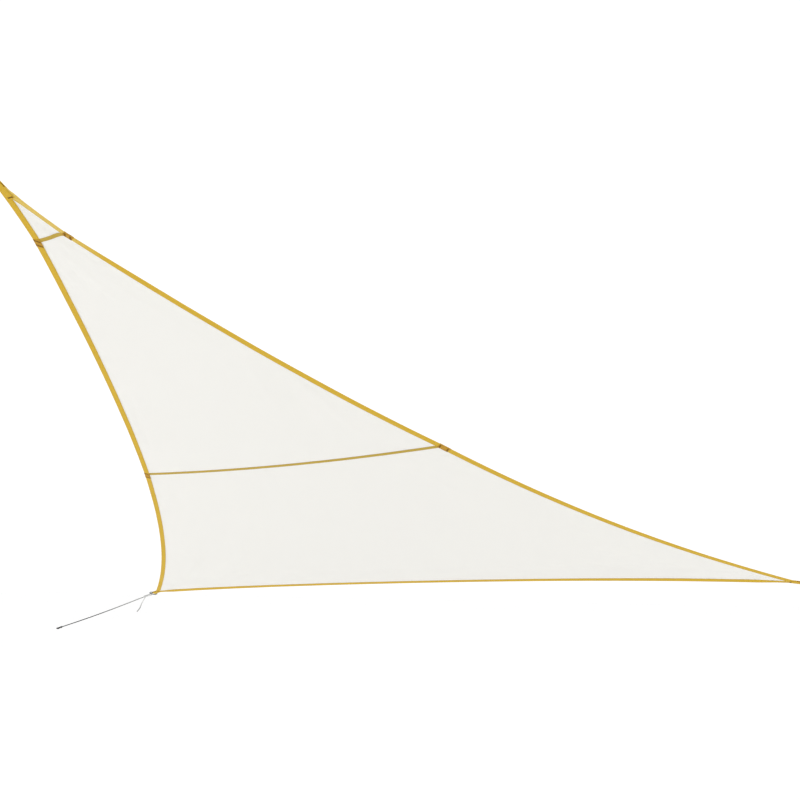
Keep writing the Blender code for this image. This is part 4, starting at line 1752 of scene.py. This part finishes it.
@dataclass
class GuyCord:
    """The taut cord: round the ring's bow, through its knot, and out to its end loop."""

    finishes: Finishes
    diameter: float = 0.0050
    length: float = 1.60
    tail_length: float = 0.206
    strand_gap: float = 0.0004
    knot_from_bow: float = 0.095
    knot_length: float = 0.019
    knot_width: float = 0.0145
    knot_turns: float = 2.75
    end_knot_length: float = 0.017
    end_knot_width: float = 0.0130
    end_knot_turns: float = 2.25
    end_loop: float = 0.070
    end_loop_width: float = 0.016
    strands: float = 4.0
    lay: float = 0.0085
    tracer_lay: float = 0.055
    braid_step: float = 0.0011
    relief: float = 0.0005
    fluff: float = 0.0002
    knot_squeeze: float = 0.0016
    knot_lift: float = 0.0003
    curve_steps: int = 6

    def __post_init__(self) -> None:
        """Sets the cord's own axes: along it from the ring's bow, aside, and up."""
        self.start = SAIL.bow_middle(Corner.LEFT)
        run = SAIL.cord_end() - self.start
        self.reach = run.length
        self.along = run.normalized()
        self.aside = Vector((0.0, 0.0, 1.0)).cross(self.along).normalized()
        self.up = self.along.cross(self.aside)
        self.end_knot = self.reach - self.end_loop - self.end_knot_length / 2
        self.braids = BraidTree()

    def at(self, along: float, aside: float = 0.0, up: float = 0.0) -> Vector:
        """A point of the cord's own axes, in the frame."""
        return SAIL.world(self.start + self.along * along + self.aside * aside + self.up * up)

    def eye(self, sign: float) -> list[Vector]:
        """Half of the loop round the ring's bow, from just past the bow's inner side to the knot.

        Args:
            sign: 1 for the strand above, -1 for the one below.

        Returns:
            Points along the strand's middle.
        """
        turn = (SAIL.ring_wire + self.diameter) / 2 + self.strand_gap
        strand = (self.diameter + self.strand_gap) / 2
        points = []
        for i in range(-1, 7):
            angle = math.pi - math.pi / 2 * i / 6
            points.append(self.at(turn * math.cos(angle), 0.0, sign * turn * math.sin(angle)))
        end = self.knot_from_bow
        for share in (0.18, 0.36, 0.54, 0.72, 0.86):
            lift = strand + (turn - strand) * (1 - share)
            points.append(self.at(end * share, 0.0, sign * lift))
        points.append(self.at(end - self.knot_length / 3, 0.0, sign * self.knot_squeeze))
        return points

    def main_path(self) -> list[Vector]:
        """The whole cord's middle, from the ring to the inside of the end knot."""
        knot_half = self.knot_length / 2
        first = self.knot_from_bow + knot_half
        last = self.end_knot - self.end_knot_length / 2
        points = self.eye(1.0)
        points.append(self.at(self.knot_from_bow + knot_half / 2, 0.0, self.knot_lift))
        for share, droop in CORD_ROUTE:
            drop = SAIL.turn @ (SAIL.down * droop)
            points.append(self.at(first + (last - first) * share) + drop)
        return points + self.end_points()

    def end_points(self) -> list[Vector]:
        """The cord through its end knot, round its narrow loop and back into the knot."""
        strand = (self.diameter + self.strand_gap) / 2
        turn = (self.end_loop_width - self.diameter) / 2
        centre = self.reach - self.diameter / 2 - turn
        start = self.end_knot + self.end_knot_length / 2
        sides = [(self.end_knot, self.knot_squeeze), (start, strand)]
        for share in (0.25, 0.5, 0.75):
            wide = strand + (turn - strand) * smooth(share)
            sides.append((start + (centre - start) * share, wide))
        bend = [math.radians(90 - 20 * i) for i in range(10)]
        path = sides + [(centre + turn * math.cos(a), turn * math.sin(a)) for a in bend]
        path += [(along, -aside) for along, aside in reversed(sides)]
        return [self.at(along, aside) for along, aside in path]

    def tail_path(self) -> list[Vector]:
        """The other strand's middle: from the ring back through the knot, and hanging free."""
        points = self.eye(-1.0)
        knot = self.at(self.knot_from_bow)
        for across, down in TAIL_ROUTE:
            points.append(knot + PICTURE_LEFT * across + Vector((0.0, 0.0, -down)))
        return points

    def wraps(self, middle: float, length: float, width: float, turns: float) -> list[Vector]:
        """The turns of a knot round the cord, with both ends tucked in.

        Args:
            middle: The knot's middle along the cord.
            length: Its length.
            width: Its width.
            turns: How often the cord goes round.

        Returns:
            Points along the wraps' middle.
        """
        steps_a_turn, tuck_share, tucked = 24, 0.10, 0.45
        run, radius = length - self.diameter, (width - self.diameter) / 2
        points = []
        for t in shares(int(turns * steps_a_turn)):
            out = smooth(min(t, 1 - t) / tuck_share)
            angle = 2 * math.pi * turns * t
            here = radius * (tucked + (1 - tucked) * out)
            points.append(self.at(middle + (t - 0.5) * run, here * math.cos(angle),
                                  here * math.sin(angle)))
        return points

    def build(self) -> None:
        """Makes the cord, its tail and its two knots."""
        wraps = self.wraps(self.knot_from_bow, self.knot_length, self.knot_width, self.knot_turns)
        # painted highlight on the knot's wraps
        knot = self.piece("cord_knot_wraps", ["cord_knot"], wraps, pale=(0.85, 9.0))
        wraps = self.wraps(self.end_knot, self.end_knot_length, self.end_knot_width,
                           self.end_knot_turns)
        # painted shade darkens the whole end knot
        end = self.piece("cord_end_wraps", ["cord_end_knot"], wraps, end_shade=(-0.5, 0.2))
        path = curve_through(self.main_path(), self.curve_steps)
        # painted shade towards the far end, and a painted highlight near the ring
        cord = self.piece("guy_cord", ["cord_eye", "cord_line", "cord_end_loop"], path,
                          end_shade=(0.25, 1.05), pale=(0.3, 0.12))
        self.length
        path = curve_through(self.tail_path(), self.curve_steps)
        # painted highlight near the knot
        tail = self.piece("guy_cord_tail", ["cord_tail"], path, pale=(0.75, 0.175))

    def piece(self, name: str, nodes: list[str], path: Sequence[Vector],
              end_shade: tuple[float, float] = (9.0, 10.0), pale: tuple[float, float] = (0.0, 0.0)
              ) -> bpy.types.Object:
        """Braids one stretch of the cord.

        Args:
            name: The piece's name.
            nodes: The solids that it stands for.
            path: Points along its middle.
            end_shade: Places along it between which painted shade darkens it. The usual ones lie
                past its end.
            pale: How strong its painted highlight is, and up to where.

        Returns:
            The piece.
        """
        LOG.info("%s: %.3f m along its middle", name, path_length(path))
        mesh = self.braids.braid(name, path, {
            "Radius": self.diameter / 2 + self.fluff, "Step": self.braid_step, "Lay": self.lay,
            "Strands": self.strands, "Relief": self.relief, "Tracer Lay": self.tracer_lay,
            "Shade Start": end_shade[0], "Shade End": end_shade[1], "Pale": pale[0], "Pale End": pale[1],
            "Finish": self.finishes.cord})
        return make_piece(name, mesh, self.finishes.cord, nodes)


# ---- studio ----
@dataclass(frozen=True)
class Lamp:
    """A square lamp that faces the sail's middle: where it stands, its watts and its width."""

    name: str
    place: tuple[float, float, float]
    power: float
    width: float
    target: tuple[float, float, float] = (0.0, 1.6, -0.7)

    def build(self) -> None:
        """Makes the lamp."""
        data = bpy.data.lights.new(self.name, "AREA")
        data.energy, data.size = self.power, self.width
        lamp = bpy.data.objects.new(self.name, data)
        lamp.location = self.place
        facing = Vector(self.target) - Vector(self.place)
        lamp.rotation_euler = facing.to_track_quat("-Z", "Y").to_euler()
        bpy.context.scene.collection.objects.link(lamp)


LAMPS = (
    Lamp("key", (-6.0, -4.0, 3.0), 155.0, 5.0),
    Lamp("low", (-5.0, -3.0, -2.4), 48.0, 3.0),
    Lamp("side", (5.0, 3.0, -2.6), 30.0, 3.0),
)


@dataclass(frozen=True)
class Studio:
    """Floor, light and camera. The camera stands where the photograph was taken."""

    eye: tuple[float, float, float] = (2.2056, -1.8813, -1.0715)  # from the top corner
    yaw: float = -0.4625
    pitch: float = 0.1767
    roll: float = 0.0088
    lens: float = 44.1
    sensor: float = 36.0
    floor_below_eye: float = 1.6
    floor_size: float = 60.0
    sky: float = 1.08

    def build(self) -> None:
        """Makes the stage."""
        self.camera()
        self.floor()
        self.light()

    def camera(self) -> None:
        """Sets the camera at the photograph's angle."""
        ahead = Vector((math.sin(self.yaw) * math.cos(self.pitch),
                        math.cos(self.yaw) * math.cos(self.pitch), math.sin(self.pitch)))
        right = Vector((math.cos(self.yaw), -math.sin(self.yaw), 0.0))
        up = right.cross(ahead)
        turned = right * math.cos(self.roll) + up * math.sin(self.roll)
        upright = up * math.cos(self.roll) - right * math.sin(self.roll)
        data = bpy.data.cameras.new("camera")
        data.lens, data.sensor_width = self.lens, self.sensor
        data.clip_start, data.clip_end = 0.05, 200.0
        made = bpy.data.objects.new("camera", data)
        bpy.context.scene.collection.objects.link(made)
        axes = Matrix((turned, upright, -ahead)).transposed().to_4x4()
        made.matrix_world = Matrix.Translation(SAIL.origin + Vector(self.eye)) @ axes
        bpy.context.scene.camera = made

    def floor(self) -> None:
        """Lays a plain pale floor."""
        shape = bmesh.new()
        bmesh.ops.create_grid(shape, x_segments=1, y_segments=1, size=self.floor_size)
        mesh = bpy.data.meshes.new("floor")
        shape.to_mesh(mesh)
        shape.free()
        shader = Shader("floor_pale")
        shader.surface({"Base Color": (0.93, 0.93, 0.93), "Roughness": 0.9,
                        "Specular IOR Level": 0.1})
        mesh.materials.append(shader.material)
        floor = bpy.data.objects.new("floor", mesh)
        floor.location = (0.0, 0.0, SAIL.origin.z + self.eye[2] - self.floor_below_eye)
        bpy.context.scene.collection.objects.link(floor)

    def light(self) -> None:
        """A white sky, and soft lamps that bring out the folds."""
        scene = bpy.context.scene
        scene.view_settings.view_transform = "Standard"
        world = bpy.data.worlds.new("studio")
        scene.world = world
        world.use_nodes = True
        background = world.node_tree.nodes["Background"]
        background.inputs["Color"].default_value = (1.0, 1.0, 1.0, 1.0)
        background.inputs["Strength"].default_value = self.sky
        for lamp in LAMPS:
            lamp.build()


PANELS = (
    Panel("cloth_tip", 0.0, SAIL.tip_seam, columns=24, rows=24,
          flat=(0.13, 0.19), area=0.0141, pucker=0.0002, unevenness=0.0008),
    Panel("cloth_middle", SAIL.tip_seam, SAIL.main_seam, columns=110, rows=150,
          flat=(1.42, 1.37), area=0.995),
    Panel("cloth_base", SAIL.main_seam, 1.0, columns=250, rows=120,
          flat=(3.6, 1.6), area=3.44),
)


def main() -> None:
    """Builds the sail piece by piece, and then the studio round it."""
    logging.basicConfig(level=logging.INFO, format="%(name)s %(message)s")
    Studio().build()
    finishes = Finishes.build()
    GuyCord(finishes).build()
    for panel in PANELS:
        panel.build(finishes.cloth)
    sewing = Sewing(StitchTree(), finishes.thread, finishes.tack)
    EdgeBands(finishes, sewing).build()
    Seams(finishes, sewing).build()
    for corner in Corner:
        loop = CornerLoop(corner)
        loop.build(finishes.webbing)
        loop.sew(sewing)
        Ring(corner).build(finishes.steel)


if __name__ == "__main__":
    main()
